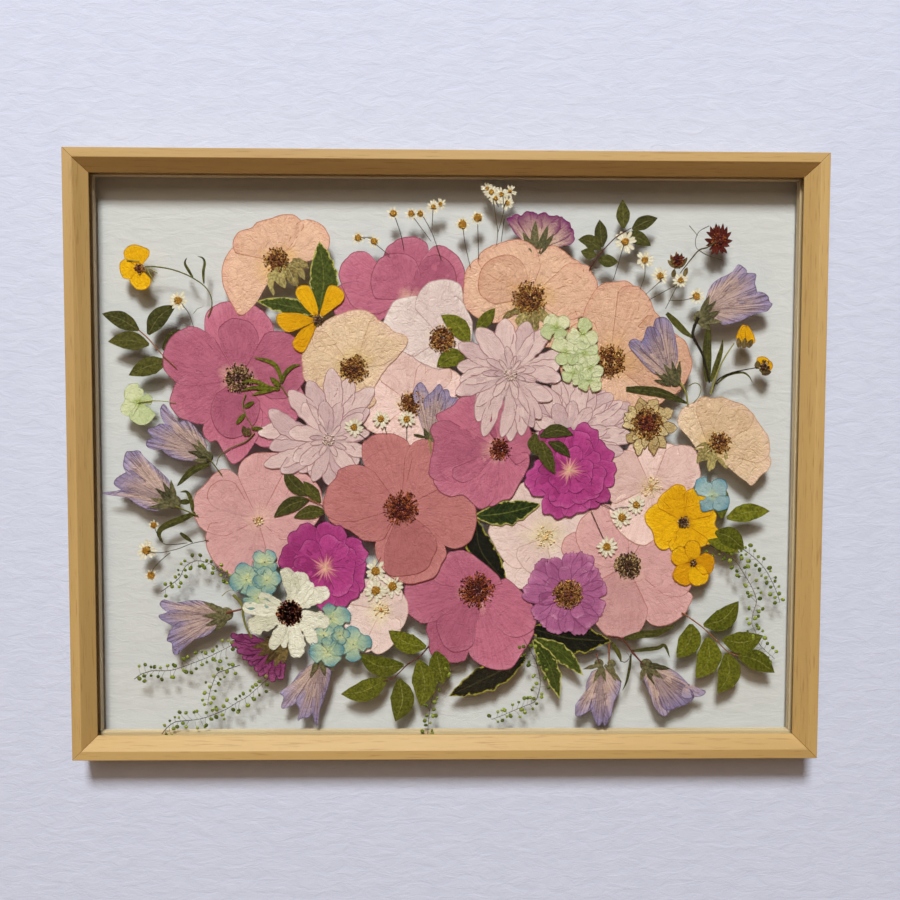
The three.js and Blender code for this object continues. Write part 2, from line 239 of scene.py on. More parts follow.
def rail_wood(name, stretch):
    """Pale close-grained wood with its fibres along the axis that is stretched least."""
    material, tree = new_tree(name)
    place = object_place(tree, stretch)
    broad = noise(tree, place, 22, 3, 0.5, 0.4)
    fine = noise(tree, place, 150, 4, 0.65)
    fleck = noise(tree, place, 420, 2, 0.5)
    color = ramp(
        tree, broad, (0.25, (0.39, 0.245, 0.083)), (0.5, (0.47, 0.31, 0.112)), (0.75, (0.53, 0.36, 0.14))
    )
    color = mixed(tree, sums(tree, "MULTIPLY", fine, 0.5), color, (0.36, 0.22, 0.072))
    pores = ramp(tree, fleck, (0.58, (0, 0, 0)), (0.72, (0.55, 0.55, 0.55)))
    color = mixed(tree, pores, color, (0.27, 0.15, 0.045))
    height = sums(tree, "ADD", fine, sums(tree, "MULTIPLY", fleck, -0.5))
    bump = add_node(tree, "ShaderNodeBump", {"Strength": 0.25, "Distance": 0.0003, "Height": height})
    show(tree, add_node(tree, "ShaderNodeBsdfPrincipled", {
        "Base Color": color,
        "Roughness": add_node(tree, "ShaderNodeMapRange", {
            0: fine, 3: 0.38, 4: 0.6,
        }).outputs[0],
        "Specular IOR Level": 0.4,
        "Normal": bump.outputs[0],
    }).outputs[0])
    return material


lying_wood = rail_wood("rail_wood_lying", (ALONG_GRAIN, ACROSS_GRAIN, ACROSS_GRAIN))
upright_wood = rail_wood("rail_wood_upright", (ACROSS_GRAIN, ACROSS_GRAIN, ALONG_GRAIN))


def wear(node_name, material, edge):
    """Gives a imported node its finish, with its sharp edges just taken off."""
    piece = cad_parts[node_name]
    piece.data.materials.clear()
    piece.data.materials.append(material)
    weld = piece.modifiers.new("weld", "WELD")
    weld.merge_threshold = WELD_REACH
    if edge:
        soften = piece.modifiers.new("soften", "BEVEL")
        soften.width = edge
        soften.segments = 2
        soften.limit_method = "ANGLE"
        soften.angle_limit = SHARP_CORNER
        soften.harden_normals = True


def wear_four(kind, lying, upright, edge):
    """Gives the four lengths of one kind their finish, with the grain along each."""
    for side, material in (("top", lying), ("bottom", lying), ("left", upright), ("right", upright)):
        wear(kind + side, material, edge)


wear_four("rail_", lying_wood, upright_wood, RAIL_EDGE)

# ---------------------------------------------------------------------------
# The strips: square raw battens pinned into the rebate behind the rear pane to
# keep both panes in, seen from in front as a narrow edge inside the rails.
STRIP_EDGE = 0.2 * MM


def strip_wood(name, stretch):
    """Raw greyish wood, rougher and duller than the rails."""
    material, tree = new_tree(name)
    grain = noise(tree, object_place(tree, stretch), 60, 4, 0.6)
    show(tree, add_node(tree, "ShaderNodeBsdfPrincipled", {
        "Base Color": ramp(tree, grain, (0.3, (0.42, 0.33, 0.22)), (0.7, (0.62, 0.52, 0.38))),
        "Roughness": 0.8,
        "Normal": add_node(tree, "ShaderNodeBump", {
            "Strength": 0.3, "Distance": 0.0003, "Height": grain,
        }).outputs[0],
    }).outputs[0])
    return material


lying_strip = strip_wood("strip_wood_lying", (0.1, 2, 2))
upright_strip = strip_wood("strip_wood_upright", (2, 2, 0.1))
wear_four("strip_", lying_strip, upright_strip, STRIP_EDGE)

# ---------------------------------------------------------------------------
# The hanger: a pressed brass-plated plate with a toothed lower edge, held to
# the back of the top rail by two small domed nails.
HANGER_EDGE = 0.1 * MM
NAIL_RADIUS = 1.5 * MM
NAIL_DOME = 0.7 * MM
NAIL_SPREAD = 0.72
NAIL_DROP = 0.3
NAIL_SIDES = 20
NAIL_RINGS = (math.pi / 2, math.pi / 3, math.pi / 6, 0.12)

brass, tree = new_tree("hanger_brass")
rubbed = noise(tree, object_place(tree, (1, 1, 4)), 300, 4, 0.6)
show(tree, add_node(tree, "ShaderNodeBsdfPrincipled", {
    "Base Color": ramp(tree, rubbed, (0.3, (0.42, 0.29, 0.1)), (0.7, (0.62, 0.46, 0.19))),
    "Metallic": 1.0,
    "Roughness": add_node(tree, "ShaderNodeMapRange", {0: rubbed, 3: 0.28, 4: 0.5}).outputs[0],
}).outputs[0])
wear("hanger", brass, HANGER_EDGE)


def mesh_piece(name, points, faces, material):
    """A new piece from its points and faces, riding on the frame."""
    mesh = bpy.data.meshes.new(name)
    mesh.from_pydata(points, [], faces)
    mesh.materials.append(material)
    mesh.shade_smooth()
    piece = bpy.data.objects.new(name, mesh)
    scene.collection.objects.link(piece)
    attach(piece, "root")
    return piece


hanger_low, hanger_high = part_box("hanger")
nail_height = hanger_high.z - (hanger_high.z - hanger_low.z) * NAIL_DROP
corners = range(NAIL_SIDES)
rings = [[ring * NAIL_SIDES + corner for corner in corners] for ring in range(len(NAIL_RINGS))]
faces = [
    (low[k], high[k], high[(k + 1) % NAIL_SIDES], low[(k + 1) % NAIL_SIDES])
    for low, high in zip(rings, rings[1:])
    for k in corners
]
faces += [rings[0][::-1], rings[-1]]
for side, side_name in ((-1, "left"), (1, "right")):
    points = [
        (
            side * hanger_high.x * NAIL_SPREAD + math.sin(tilt) * NAIL_RADIUS * math.cos(turn),
            hanger_high.y + math.cos(tilt) * NAIL_DOME,
            nail_height + math.sin(tilt) * NAIL_RADIUS * math.sin(turn),
        )
        for tilt in NAIL_RINGS
        for turn in (2 * math.pi * k / NAIL_SIDES for k in corners)
    ]
    mesh_piece("hanger_nail_" + side_name, points, faces, brass)

# ---------------------------------------------------------------------------
# The panes: two sheets of clear picture glass with ground edges, laid in the
# rebate with the flowers pressed between them.
clear, tree = new_tree("clear_glass")
shadow = add_node(tree, "ShaderNodeLightPath")
passes = sums(tree, "MAXIMUM", shadow.outputs["Is Shadow Ray"], shadow.outputs["Is Diffuse Ray"])
smudge = noise(tree, object_place(tree), 14, 3)
pane = add_node(tree, "ShaderNodeBsdfPrincipled", {
    "Base Color": ramp(tree, smudge, (0.2, (0.995, 0.99, 0.955)), (0.8, (1.0, 0.995, 0.965))),
    "Roughness": 0.0,
    "IOR": 1.22,
    "Transmission Weight": 1.0,
})
show(tree, add_node(tree, "ShaderNodeMixShader", {
    0: passes,
    1: pane.outputs[0],
    2: add_node(tree, "ShaderNodeBsdfTransparent", {
        "Color": (1.0, 0.995, 0.955, 1),
    }).outputs[0],
}).outputs[0])
for pane_name in ("glass_rear", "glass_front"):
    wear(pane_name, clear, 0)

# ---------------------------------------------------------------------------
# Mauve roses: single wild roses picked open and pressed flat. Each petal is
# broad, thin and creased by the press, with painted shade on the higher ones.
PRESS_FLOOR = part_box("glass_rear")[0].y
PRESS_ROOM = PRESS_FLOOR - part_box("glass_front")[1].y
PANE_TOUCH = 0.03 * MM
FIRST_RISE = 0.14 * MM
LAYER_RISE = 0.29 * MM
SHEET_RISE = 0.035 * MM
BUMP_DEPTH = 0.3 * MM
CURVE_STEPS = 12
FOLD_WAVES = 7
# Lengths in millimetres of the waves in a petal's rim, of its dents and creases and of the
# broad wave that runs through all the flowers, and the heights of that wave and of the curled rim.
RIM_WAVE = 7
RIM_RIPPLE = 2.6
DENT = 11
CREASE = 16
BROAD_WAVE = 40
BROAD_LIFT = 0.03
CURL = 0.07
# Shares of a petal's length: what is left out at its foot, what its corners lose, where its rim
# starts to curl, and how close the folds along its veins lie.
FOOT_GAP = 0.05
CORNER_ROUNDING = 0.13
CURL_START = 0.86
VEIN_FOLD = 3.1
# Painted shade: a flower's lowest petal is palest, each laid over it darker; each has a tone a little of its
# own.
LOWEST_TONE = 0.95
OVERLAP_SHADE_DROP = 0.75
TONE_SPREAD = 0.16


def layer_rise(layer):
    """How far a layer of flowers lies above the rear pane."""
    return FIRST_RISE + layer * LAYER_RISE


def length_of(points):
    """The length of a line through points."""
    return np.hypot(*np.diff(np.array(points, float), axis=0).T).sum()


def directions(line):
    """The direction of a line at each of its points, with length 1."""
    way = np.gradient(line, axis=0)
    return way / np.maximum(np.hypot(*way.T), 1e-6)[:, None]


def soft_line(points, count):
    """A smooth line through points, as count evenly spaced points."""
    knots = np.array(points, float)
    knots = np.vstack([2 * knots[:1] - knots[1:2], knots, 2 * knots[-1:] - knots[-2:-1]])
    t = np.linspace(0, 1, CURVE_STEPS + 1)[:-1, None]
    run = []
    for a, b, c, d in zip(knots, knots[1:], knots[2:], knots[3:]):
        run.append(0.5 * (2 * b + (c - a) * t + (2 * a - 5 * b + 4 * c - d) * t**2
                          + (3 * b - a - 3 * c + d) * t**3))
    run = np.vstack(run + [knots[-2:-1]])
    far = np.concatenate([[0], np.cumsum(np.hypot(*np.diff(run, axis=0).T))])
    even = np.linspace(0, far[-1], count)
    return np.stack([np.interp(even, far, run[:, 0]), np.interp(even, far, run[:, 1])], 1)


def crumple(x, z, length, seed):
    """A smooth random field, mostly between -1 and 1, whose folds are about length apart."""
    dice = np.random.default_rng(seed)
    total = x * 0.0 + z * 0.0
    for _ in range(FOLD_WAVES):
        turn = dice.uniform(0, math.pi)
        size = 2 * math.pi / (length * dice.uniform(0.7, 1.5))
        total += np.sin((x * math.cos(turn) + z * math.sin(turn)) * size + dice.uniform(0, 6.3))
    return total / math.sqrt(FOLD_WAVES * 2.5)


class Pressing:
    """Sheets, threads and beads gathered into one mesh.

    x and z are millimetres from the frame's middle, and rise is metres above the rear pane.
    """

    def __init__(self):
        self.points = []
        self.faces = []
        self.total = 0
        self.shading = {"along": [], "across": [], "tone": [], "inset": []}

    def put(self, x, z, rise, faces, **shading):
        """Adds points and faces, kept clear of both panes, with their shading values."""
        rise = np.clip(rise, PANE_TOUCH, PRESS_ROOM - PANE_TOUCH)
        place = (middle.x + x * MM, PRESS_FLOOR - rise, middle.z + z * MM)
        self.points.append(np.stack(np.broadcast_arrays(*place), -1).reshape(-1, 3))
        self.faces.append(np.asarray(faces) + self.total)
        for key, store in self.shading.items():
            store.append(np.broadcast_to(shading.get(key, 0.0), x.shape).reshape(-1))
        self.total += x.size

    def grid(self, x, z, rise, wrap=False, **shading):
        """Adds a net of rows and columns."""
        rows, columns = x.shape
        index = np.arange(rows * columns).reshape(rows, columns)
        if wrap:
            index = np.hstack([index, index[:, :1]])
        faces = np.stack([index[:-1, :-1], index[:-1, 1:], index[1:, 1:], index[1:, :-1]], -1)
        self.put(x, z, rise, faces.reshape(-1, 4), **shading)

    def piece(self, name, material, slot, replaced=None):
        """Makes the piece and gives it its shading values."""
        made = mesh_piece(
            name, np.vstack(self.points).tolist(), np.vstack(self.faces).tolist(), material
        )
        for key, store in self.shading.items():
            values = np.concatenate(store).astype(np.float32)
            made.data.attributes.new(key, "FLOAT", "POINT").data.foreach_set("value", values)
        if replaced:
            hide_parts(replaced)


def petal(pressing, base, rim, rise, seed, step=1.4, ruffle=0.25, relief=0.11, tone=None):
    """A petal that fans out from its base to a rim, creased along its veins."""
    base = np.array(base, float)
    length = length_of(rim)
    columns = max(8, int(length / step))
    edge = soft_line(rim, columns)
    across = np.linspace(-1, 1, columns)
    reach = np.hypot(*(edge - base).T)
    run = across * length / 2
    waver = crumple(run, run * 0, RIM_WAVE, seed + 1) + crumple(run, run * 0, RIM_RIPPLE, seed + 2) * 0.4
    trim = 1 + ruffle * waver / np.maximum(reach, 3) - CORNER_ROUNDING * np.abs(across) ** 9
    edge = base + (edge - base) * trim[:, None]
    rows = max(5, int(reach.mean() / step))
    along = np.linspace(FOOT_GAP, 1, rows)[:, None]
    x = base[0] + (edge[:, 0] - base[0]) * along
    z = base[1] + (edge[:, 1] - base[1]) * along
    folds = crumple(across[None, :] * 11 + along * 1.5, along * 3, VEIN_FOLD, seed + 3)
    dents = crumple(x, z, DENT, seed + 4)
    sharp = 1 - np.abs(crumple(x, z, CREASE, seed + 5)) * 2.2
    lift = rise + relief * MM * (folds * along * 0.5 + dents * 0.5 + np.maximum(sharp, 0) * 0.45)
    curl = CURL * MM * np.maximum(along - CURL_START, 0) / (1 - CURL_START)
    lift = lift + crumple(x, z, BROAD_WAVE, 5) * BROAD_LIFT * MM + curl
    inset = np.minimum((1 - along) * reach, (1 - np.abs(across)) * along * length / 2)
    if tone is None:
        tone = np.random.default_rng(seed).uniform(0, 1)
    pressing.grid(x, z, lift, along=along, across=across, inset=inset, tone=tone)


def shading_values(tree):
    """The values along, across, tone and inset that each point of a piece carries."""
    return [
        add_node(tree, "ShaderNodeAttribute", attribute_name=key).outputs["Fac"]
        for key in ("along", "across", "tone", "inset")
    ]


def ridges(tree, value):
    """How far a value between 0 and 1 is from its middle."""
    return sums(tree, "ABSOLUTE", sums(tree, "SUBTRACT", value, 0.5))


def fade(tree, value, start, end, share=1.0):
    """A grey of share while value is under start, falling to black at end."""
    return ramp(tree, value, (start, (share, share, share)), (end, (0, 0, 0)))


def thin_skin(tree, color, roughness, gloss, height, strength, through):
    """Shows a thin dried surface that lets part of the light through."""
    bump = add_node(tree, "ShaderNodeBump", {
        "Strength": strength, "Distance": BUMP_DEPTH, "Height": height,
    }).outputs[0]
    face = add_node(tree, "ShaderNodeBsdfPrincipled", {
        "Base Color": color,
        "Roughness": roughness,
        "Specular IOR Level": gloss,
        "Normal": bump,
    })
    lit = add_node(tree, "ShaderNodeBsdfTranslucent", {"Color": color, "Normal": bump})
    show(tree, add_node(tree, "ShaderNodeMixShader", {
        0: through, 1: face.outputs[0], 2: lit.outputs[0],
    }).outputs[0])


def petal_finish(name, heart, body, rim, vein, vein_share=0.2, through=0.16, veins=10.0, crease=0.14,
                 edge_shadow_share=0.75, spread=0.3, edge=0.86, deep_tone_and_shade=(0.7, 0.56, 0.66), crinkle=0.35, branching=1.6):
    """A thin dried petal: colour from heart to rim, branching veins, press creases, a painted shadow line
    along its edges, painted shade that deepens as its tone falls, light through it.
    """
    material, tree = new_tree(name)
    along, across, tone, inset = shading_values(tree)
    place = object_place(tree)
    cloud = noise(tree, place, 70, 3, 0.6)
    wander = sums(tree, "ADD", along, sums(tree, "MULTIPLY", sums(tree, "SUBTRACT", cloud, 0.5), 0.35))
    color = ramp(tree, wander, (0.02, heart), (spread, body), (edge, body), (1.0, rim))
    shade = sums(tree, "ADD", sums(tree, "MULTIPLY", tone, 0.6), sums(tree, "MULTIPLY", cloud, 0.4))
    # Painted shade and tone: the colour is multiplied down towards this dark tone where the petal's tone is
    # low, as it is on a flower's higher petals.
    color = mixed(
        tree, 1.0, color, ramp(tree, shade, (0.2, deep_tone_and_shade), (0.75, (1.08, 1.08, 1.08))), "MULTIPLY"
    )
    ray = add_node(tree, "ShaderNodeCombineXYZ", {
        0: sums(tree, "MULTIPLY", across, veins),
        1: sums(tree, "MULTIPLY", along, branching),
        2: sums(tree, "MULTIPLY", tone, 40.0),
    }).outputs[0]
    lines = fade(tree, ridges(tree, noise(tree, ray, 1.6, 3, 0.55, 0.25)), 0.0, 0.045)
    color = mixed(tree, sums(tree, "MULTIPLY", lines, vein_share), color, vein)
    folds = fade(tree, ridges(tree, noise(tree, place, 55, 4, 0.62, 0.8)), 0.0, 0.03)
    color = mixed(tree, sums(tree, "MULTIPLY", folds, crease), color, vein)
    # Painted shadow: a thin dark line in the vein colour along the petal's sides and rim, kept off its foot,
    # for the shade each petal casts on the one below.
    away_from_foot = ramp(tree, along, (0.15, (0, 0, 0)), (0.5, (1, 1, 1)))
    painted_edge_shadow = sums(tree, "MULTIPLY", fade(tree, inset, 0.35, 0.85, edge_shadow_share), away_from_foot)
    color = mixed(tree, painted_edge_shadow, color, vein)
    grain = noise(tree, place, 900, 2, 0.6)
    wrinkles = ridges(tree, noise(tree, place, 190, 3, 0.6, 1.2))
    height = sums(tree, "ADD", sums(tree, "MULTIPLY", lines, 0.3), sums(tree, "MULTIPLY", folds, 0.5))
    height = sums(tree, "SUBTRACT", height, sums(tree, "MULTIPLY", wrinkles, crinkle * 12))
    height = sums(tree, "ADD", height, sums(tree, "MULTIPLY", grain, 0.2))
    roughness = add_node(tree, "ShaderNodeMapRange", {0: grain, 3: 0.6, 4: 0.85}).outputs[0]
    thin_skin(tree, color, roughness, 0.12, height, 0.8, through)
    return material


def flower(name, layer, centre, rims, material, slot, step=1.4, **how):
    """A flower of petals that all spring from its centre, laid one over the next."""
    pressing = Pressing()
    dice = np.random.default_rng(len(name) + layer)
    for order, rim in enumerate(rims):
        rise = layer_rise(layer) + order * SHEET_RISE
        # Painted shade: each petal laid higher gets a lower tone, so it is painted darker.
        tone = LOWEST_TONE - OVERLAP_SHADE_DROP * order / len(rims) + dice.normal(0, TONE_SPREAD)
        tone = np.clip(tone, 0, 1)
        petal(pressing, centre, rim, rise, len(name) * 31 + order * 7 + layer, step, tone=tone, **how)
    pressing.piece(name + "_petals", material, slot, name)


mauve = petal_finish(
    "mauve_petal", (0.86, 0.54, 0.46), (0.5, 0.155, 0.255), (0.53, 0.19, 0.29), (0.18, 0.02, 0.055),
    vein_share=0.25,
)
flower("mauve_left", 1, (-147, 56), [
    [(-136, 6), (-124, 8), (-113, 16), (-105, 30), (-101, 44), (-106, 56)],
    [(-128, 30), (-134, 14), (-144, 0), (-152, -4), (-158, 4), (-163, 12), (-168, 11.5), (-173, 18),
     (-172, 28)],
    [(-172, 84), (-170, 100), (-165, 106), (-157, 109.5), (-150, 110), (-138, 108), (-128, 102), (-122, 92),
     (-122, 80)],
    [(-163, 32), (-172, 24), (-180, 25), (-184, 26.5), (-189, 28.5), (-194, 34), (-195.5, 40), (-194, 46),
     (-189, 56), (-178, 62)],
    [(-178, 50), (-189, 52), (-194, 56), (-199, 62), (-200, 70), (-198.5, 77), (-194, 85), (-187, 90),
     (-178, 92.5), (-166, 88)],
    [(-126, 92), (-110, 87), (-102, 77), (-99, 64), (-101, 54), (-110, 44), (-122, 40)],
    [(-160, 80), (-161, 90), (-154, 97), (-147, 98), (-138, 95), (-133, 86), (-134, 76)],
    [(-165, 44), (-167, 32), (-163, 20), (-154, 14), (-144, 16), (-136, 24), (-130, 38)],
], mauve, "petal_mauve")
flower("mauve_top", 0, (-28, 111), [
    [(-54, 92), (-70, 95), (-80, 102), (-82, 111), (-78, 120), (-68, 126)],
    [(-52, 100), (-66, 106), (-72.5, 116), (-76, 125), (-76.5, 132), (-72, 139.5), (-65, 145), (-56, 144),
     (-48, 134)],
    [(-52, 140), (-46, 142), (-43, 148), (-38, 152), (-32, 155), (-25, 155.5), (-19, 154), (-14, 149),
     (-14, 140)],
    [(-18, 142), (-9, 149.5), (0, 147.5), (8, 140.5), (12, 130), (10, 118), (4, 108)],
    [(-54, 112), (-54, 128), (-48, 140), (-38, 144), (-26, 142), (-18, 132)],
    [(-22, 134), (-14, 142), (-4, 142), (4, 134), (6, 122), (0, 112)],
], mauve, "petal_mauve")
flower("mauve_middle", 6, (37, 7), [
    [(22, -8), (24, -22), (30, -34), (38, -30), (45, -28), (50, -19), (57, -7), (60, 4)],
    [(50, -6), (60, 6), (58, 22), (50, 34), (38, 42), (28, 38)],
    [(40, 34), (30, 46), (22, 46), (15, 45), (8, 43), (4, 38), (-5, 33), (-9, 30), (-6, 22)],
    [(-4, 30), (-11.5, 24), (-12, 18), (-10, 11), (-13, -5), (-13, -12), (-6, -16), (4, -12)],
    [(0, -6), (-10, -14), (-8, -20), (-5, -24), (2, -27), (11, -26), (20, -34), (25, -35.5), (32, -30),
     (36, -18)],
    [(0, -8), (3, -10), (3, -13), (10, -17), (18, -14), (24, -8), (26, -3)],
    [(16, 38), (22, 43), (28, 40), (31, 32), (28, 22)],
], mauve, "petal_mauve")
flower("mauve_bottom", 1, (21, -94), [
    [(30, -110), (60, -120), (60, -130), (55, -138), (50, -146), (45, -151), (38, -152), (30, -150.5),
     (22, -147), (16, -141), (12, -128)],
    [(18, -126), (14, -142.5), (10, -146), (0, -146.5), (-9, -143), (-13, -137), (-13, -130), (-15, -123),
     (-12, -114), (0, -106)],
    [(44, -84), (52, -94), (57, -99), (61, -105), (64, -113), (62, -122), (55, -127), (46, -128),
     (38, -123), (31, -114)],
    [(-4, -116), (-17, -118), (-21, -116.5), (-28, -111), (-31.5, -106), (-31, -100), (-30, -90),
     (-22, -84), (-8, -84)],
    [(-8, -90), (-12, -84), (-6, -76), (0, -68), (3, -66), (14, -66), (28, -76), (36, -83), (42, -89)],
    [(4, -108), (-7, -115), (-7, -124), (-3, -133), (2, -138), (8, -139), (14, -137), (18, -134),
     (20, -128), (21, -118), (24, -110)],
], mauve, "petal_mauve")

# ---------------------------------------------------------------------------
# Pink roses: garden roses with fewer, larger petals, the dusty one laid over
# its neighbours in the middle and three paler ones tucked in round it.
dusty = petal_finish(
    "dusty_petal", (0.62, 0.28, 0.27), (0.51, 0.2, 0.215), (0.53, 0.22, 0.23), (0.2, 0.035, 0.03),
    deep_tone_and_shade=(0.82, 0.72, 0.74),
)
flower("dusty_rose", 5, (-33, -35), [
    [(-62, -2), (-60, 11), (-57, 14), (-52, 17), (-45, 18), (-38, 17.5), (-32, 15), (-28, 12), (-24, 4)],
    [(-30, 6), (-26, 10.5), (-23, 12.5), (-18, 14), (-12, 13.5), (-4, 10), (2, 4), (8, -6), (12, -18),
     (10, -26)],
    [(-2, -58), (0, -68), (-4, -75), (-7, -82), (-12, -86), (-20, -88.5), (-28, -89.5), (-38, -86),
     (-45, -80), (-50, -73), (-54, -64)],
    [(-46, -60), (-60, -58), (-68, -52), (-74, -49), (-80, -47), (-85, -42), (-80, -34)],
    [(4, -16), (12, -24.5), (16, -28), (20, -35), (21, -43), (19, -53), (15, -60), (7, -64), (0, -63),
     (-8, -58)],
    [(-70, -46), (-80, -44), (-86, -40), (-88, -33), (-87, -26), (-84, -19), (-79, -13), (-77, -8),
     (-70, -5), (-63, -4), (-54, -6)],
    [(-46, -66), (-44, -80), (-38, -84), (-25, -83), (-15, -79), (-10, -70), (-7, -62), (-10, -52)],
], dusty, "petal_pink")
pale_pink = petal_finish(
    "pale_pink_petal", (0.78, 0.52, 0.48), (0.66, 0.385, 0.41), (0.69, 0.42, 0.44), (0.34, 0.1, 0.08),
    deep_tone_and_shade=(0.84, 0.76, 0.78),
)
shell_pink = petal_finish(
    "shell_pink_petal", (0.84, 0.68, 0.5), (0.82, 0.62, 0.62), (0.85, 0.66, 0.65), (0.42, 0.19, 0.14),
    deep_tone_and_shade=(0.88, 0.82, 0.82), crease=0.25,
)
flower("pale_pink_left", 1, (-134, -44), [
    [(-150, -10), (-147, -4), (-143, 0), (-138, 3), (-132, 4), (-125, 4), (-118, 4), (-113, -10),
     (-110, -22)],
    [(-140, -82), (-128, -82), (-114, -74), (-104, -63), (-101, -49), (-106, -36)],
    [(-114, -6), (-100, -11), (-90, -22), (-89, -38), (-100, -54), (-116, -60)],
    [(-172, -46), (-171, -62), (-167, -72), (-162, -78), (-156, -82), (-152, -84), (-144, -82), (-136, -76),
     (-128, -66)],
    [(-160, -57), (-173, -51), (-178, -44), (-180, -36), (-180, -30), (-178, -25), (-172, -19), (-165, -11),
     (-158, -7), (-150, -8)],
    [(-152, -14), (-162, -16), (-169, -22), (-170, -28), (-166, -34), (-158, -38), (-148, -40)],
], pale_pink, "petal_pink")
flower("pale_pink_right", 2, (145, -20), [
    [(124, 2), (130, 11), (138, 14), (148, 13), (158, 11), (164, 8), (166, 0)],
    [(152, -56), (140, -62), (128, -57), (118, -46), (115, -36), (120, -26)],
    [(176, -20), (174, -32), (168, -44), (158, -54), (146, -57)],
    [(156, 10), (168, 10), (175, 8), (178, 2), (179, -5), (180, -12), (177, -18), (172, -26)],
    [(116, -34), (114, -22), (114, -10), (117, -1), (122, 5), (132, 8)],
], shell_pink, "petal_pink")
flower("pink_rose_right", 1, (129, -76), [
    [(104, -90), (92, -80), (85, -72), (81, -64), (84, -56), (92, -52), (104, -54)],
    [(108, -44), (122, -44), (136, -47), (148, -54), (152, -64)],
    [(112, -78), (102, -73), (95, -66), (91.5, -57), (92, -50), (95, -43), (103, -36), (113, -32),
     (124, -38), (130, -50)],
    [(168, -92), (176, -98), (174, -105), (170, -112), (163, -117), (156, -120), (150, -120), (144, -117),
     (136, -106)],
    [(142, -52), (156, -58), (166, -68), (173, -80), (175, -90), (170, -98), (158, -100)],
    [(146, -112), (138, -124), (132, -126.5), (125, -128.5), (117, -128), (112, -125), (106, -118),
     (100, -106), (98, -92)],
], pale_pink, "petal_pink")

# ---------------------------------------------------------------------------
# Peach poppies and cream roses: paper-thin petals with a fine net of press
# wrinkles, almost see-through where only one petal lies on the glass.
peach = petal_finish(
    "peach_petal", (0.78, 0.5, 0.18), (0.78, 0.52, 0.4), (0.74, 0.45, 0.36), (0.4, 0.14, 0.07),
    vein_share=0.22, crease=0.2, through=0.2, deep_tone_and_shade=(0.9, 0.84, 0.82), crinkle=0.7, spread=0.46,
)
flower("peach_side", 2, (-118, 137), [
    [(-124, 127), (-128, 121), (-134, 109.5), (-144.5, 100), (-151, 107), (-157.5, 121), (-157.8, 133),
     (-154, 144), (-149, 152)],
    [(-104, 168), (-95, 166.5), (-88, 163), (-84, 158), (-82.7, 151), (-84.5, 145.5), (-90, 141),
     (-97, 138), (-103, 136.5)],
    [(-153, 144), (-149, 155), (-144, 159), (-137, 161), (-133, 165), (-125, 167), (-120, 169),
     (-112, 170.5), (-105, 169), (-98, 165)],
], peach, "petal_peach")
flower("peach_large", 1, (57, 113), [
    [(94, 104), (90, 88), (78, 79), (62, 80), (50, 84), (40, 90), (32, 98)],
    [(36, 94), (24, 97), (13, 105), (10.5, 112), (10.5, 120), (12, 131), (15.5, 137), (20, 140.5),
     (28, 142), (36, 138)],
    [(56, 150), (64, 147.5), (70, 149.5), (76, 149.5), (82, 145.5), (88, 141), (95, 136), (96, 126)],
    [(86, 140), (95, 137), (99, 136), (101, 131), (105, 125), (105, 117), (104.5, 113), (101, 106),
     (96, 101), (84, 96)],
    [(20, 134), (20, 140.5), (24, 146), (30, 149.5), (36, 151.5), (43, 153.3), (50, 154), (57, 151.5),
     (62, 147), (66, 138)],
    [(30, 108), (22, 116), (21, 126), (25, 136), (34, 142), (44, 143), (52, 138), (56, 130)],
], peach, "petal_peach")
flower("orange_peach", 2, (114, 69), [
    [(160, 52), (152, 40), (138, 37), (124, 36), (110, 40), (100, 48)],
    [(104, 40), (90, 46), (81, 58), (78, 72), (82, 86), (90, 96), (102, 100)],
    [(92, 96), (98, 110), (105, 121), (112, 124.5), (119, 125), (126, 125.5), (134, 118), (136, 106)],
    [(144, 106), (157, 92), (163, 87), (168, 83), (172, 72), (173, 67), (171, 60), (167, 52), (160, 45),
     (146, 44)],
    [(120, 124), (132, 122), (136, 120), (140, 116), (143, 111), (146, 104), (152, 97), (150, 86)],
], peach, "petal_peach")
cream = petal_finish(
    "cream_petal", (0.74, 0.55, 0.22), (0.8, 0.62, 0.46), (0.8, 0.6, 0.5), (0.42, 0.23, 0.11),
    vein_share=0.22, crease=0.22, through=0.2, edge_shadow_share=0.6, deep_tone_and_shade=(0.92, 0.88, 0.84), crinkle=0.85, spread=0.46,
)
flower("cream_rose", 3, (-66, 63), [
    [(-32, 82), (-34, 73), (-42, 65), (-49, 55), (-55, 44), (-64, 40)],
    [(-48, 38), (-60, 34), (-74, 36), (-84, 40), (-92, 46), (-95, 58)],
    [(-98, 80), (-94, 90), (-91, 93), (-85, 97), (-77, 101), (-68, 104), (-62, 104.5), (-56, 103.5),
     (-50, 99), (-46, 90)],
    [(-84, 42), (-99, 53), (-102, 59), (-102, 65), (-103, 72), (-100, 79), (-98.5, 82), (-97, 88), (-88, 92)],
    [(-54, 101), (-44, 95), (-38, 89.5), (-31, 87), (-28, 84), (-30, 78), (-36, 72), (-44, 66)],
], cream, "petal_cream")
flower("pink_cream", 1, (-26, 39), [
    [(-40, 14), (-56, 20), (-65, 33), (-64, 48), (-54, 62), (-40, 66)],
    [(2, 32), (-2, 18), (-12, 11), (-26, 9), (-40, 11), (-50, 20)],
    [(-14, 65), (0, 64), (10, 57), (13, 44), (9, 31), (-4, 22)],
    [(-50, 56), (-47, 66), (-40, 74), (-30, 76), (-20, 73), (-14, 64)],
    [(-22, 66), (-12, 70), (-2, 68), (3, 60), (2, 52)],
], shell_pink, "petal_cream")
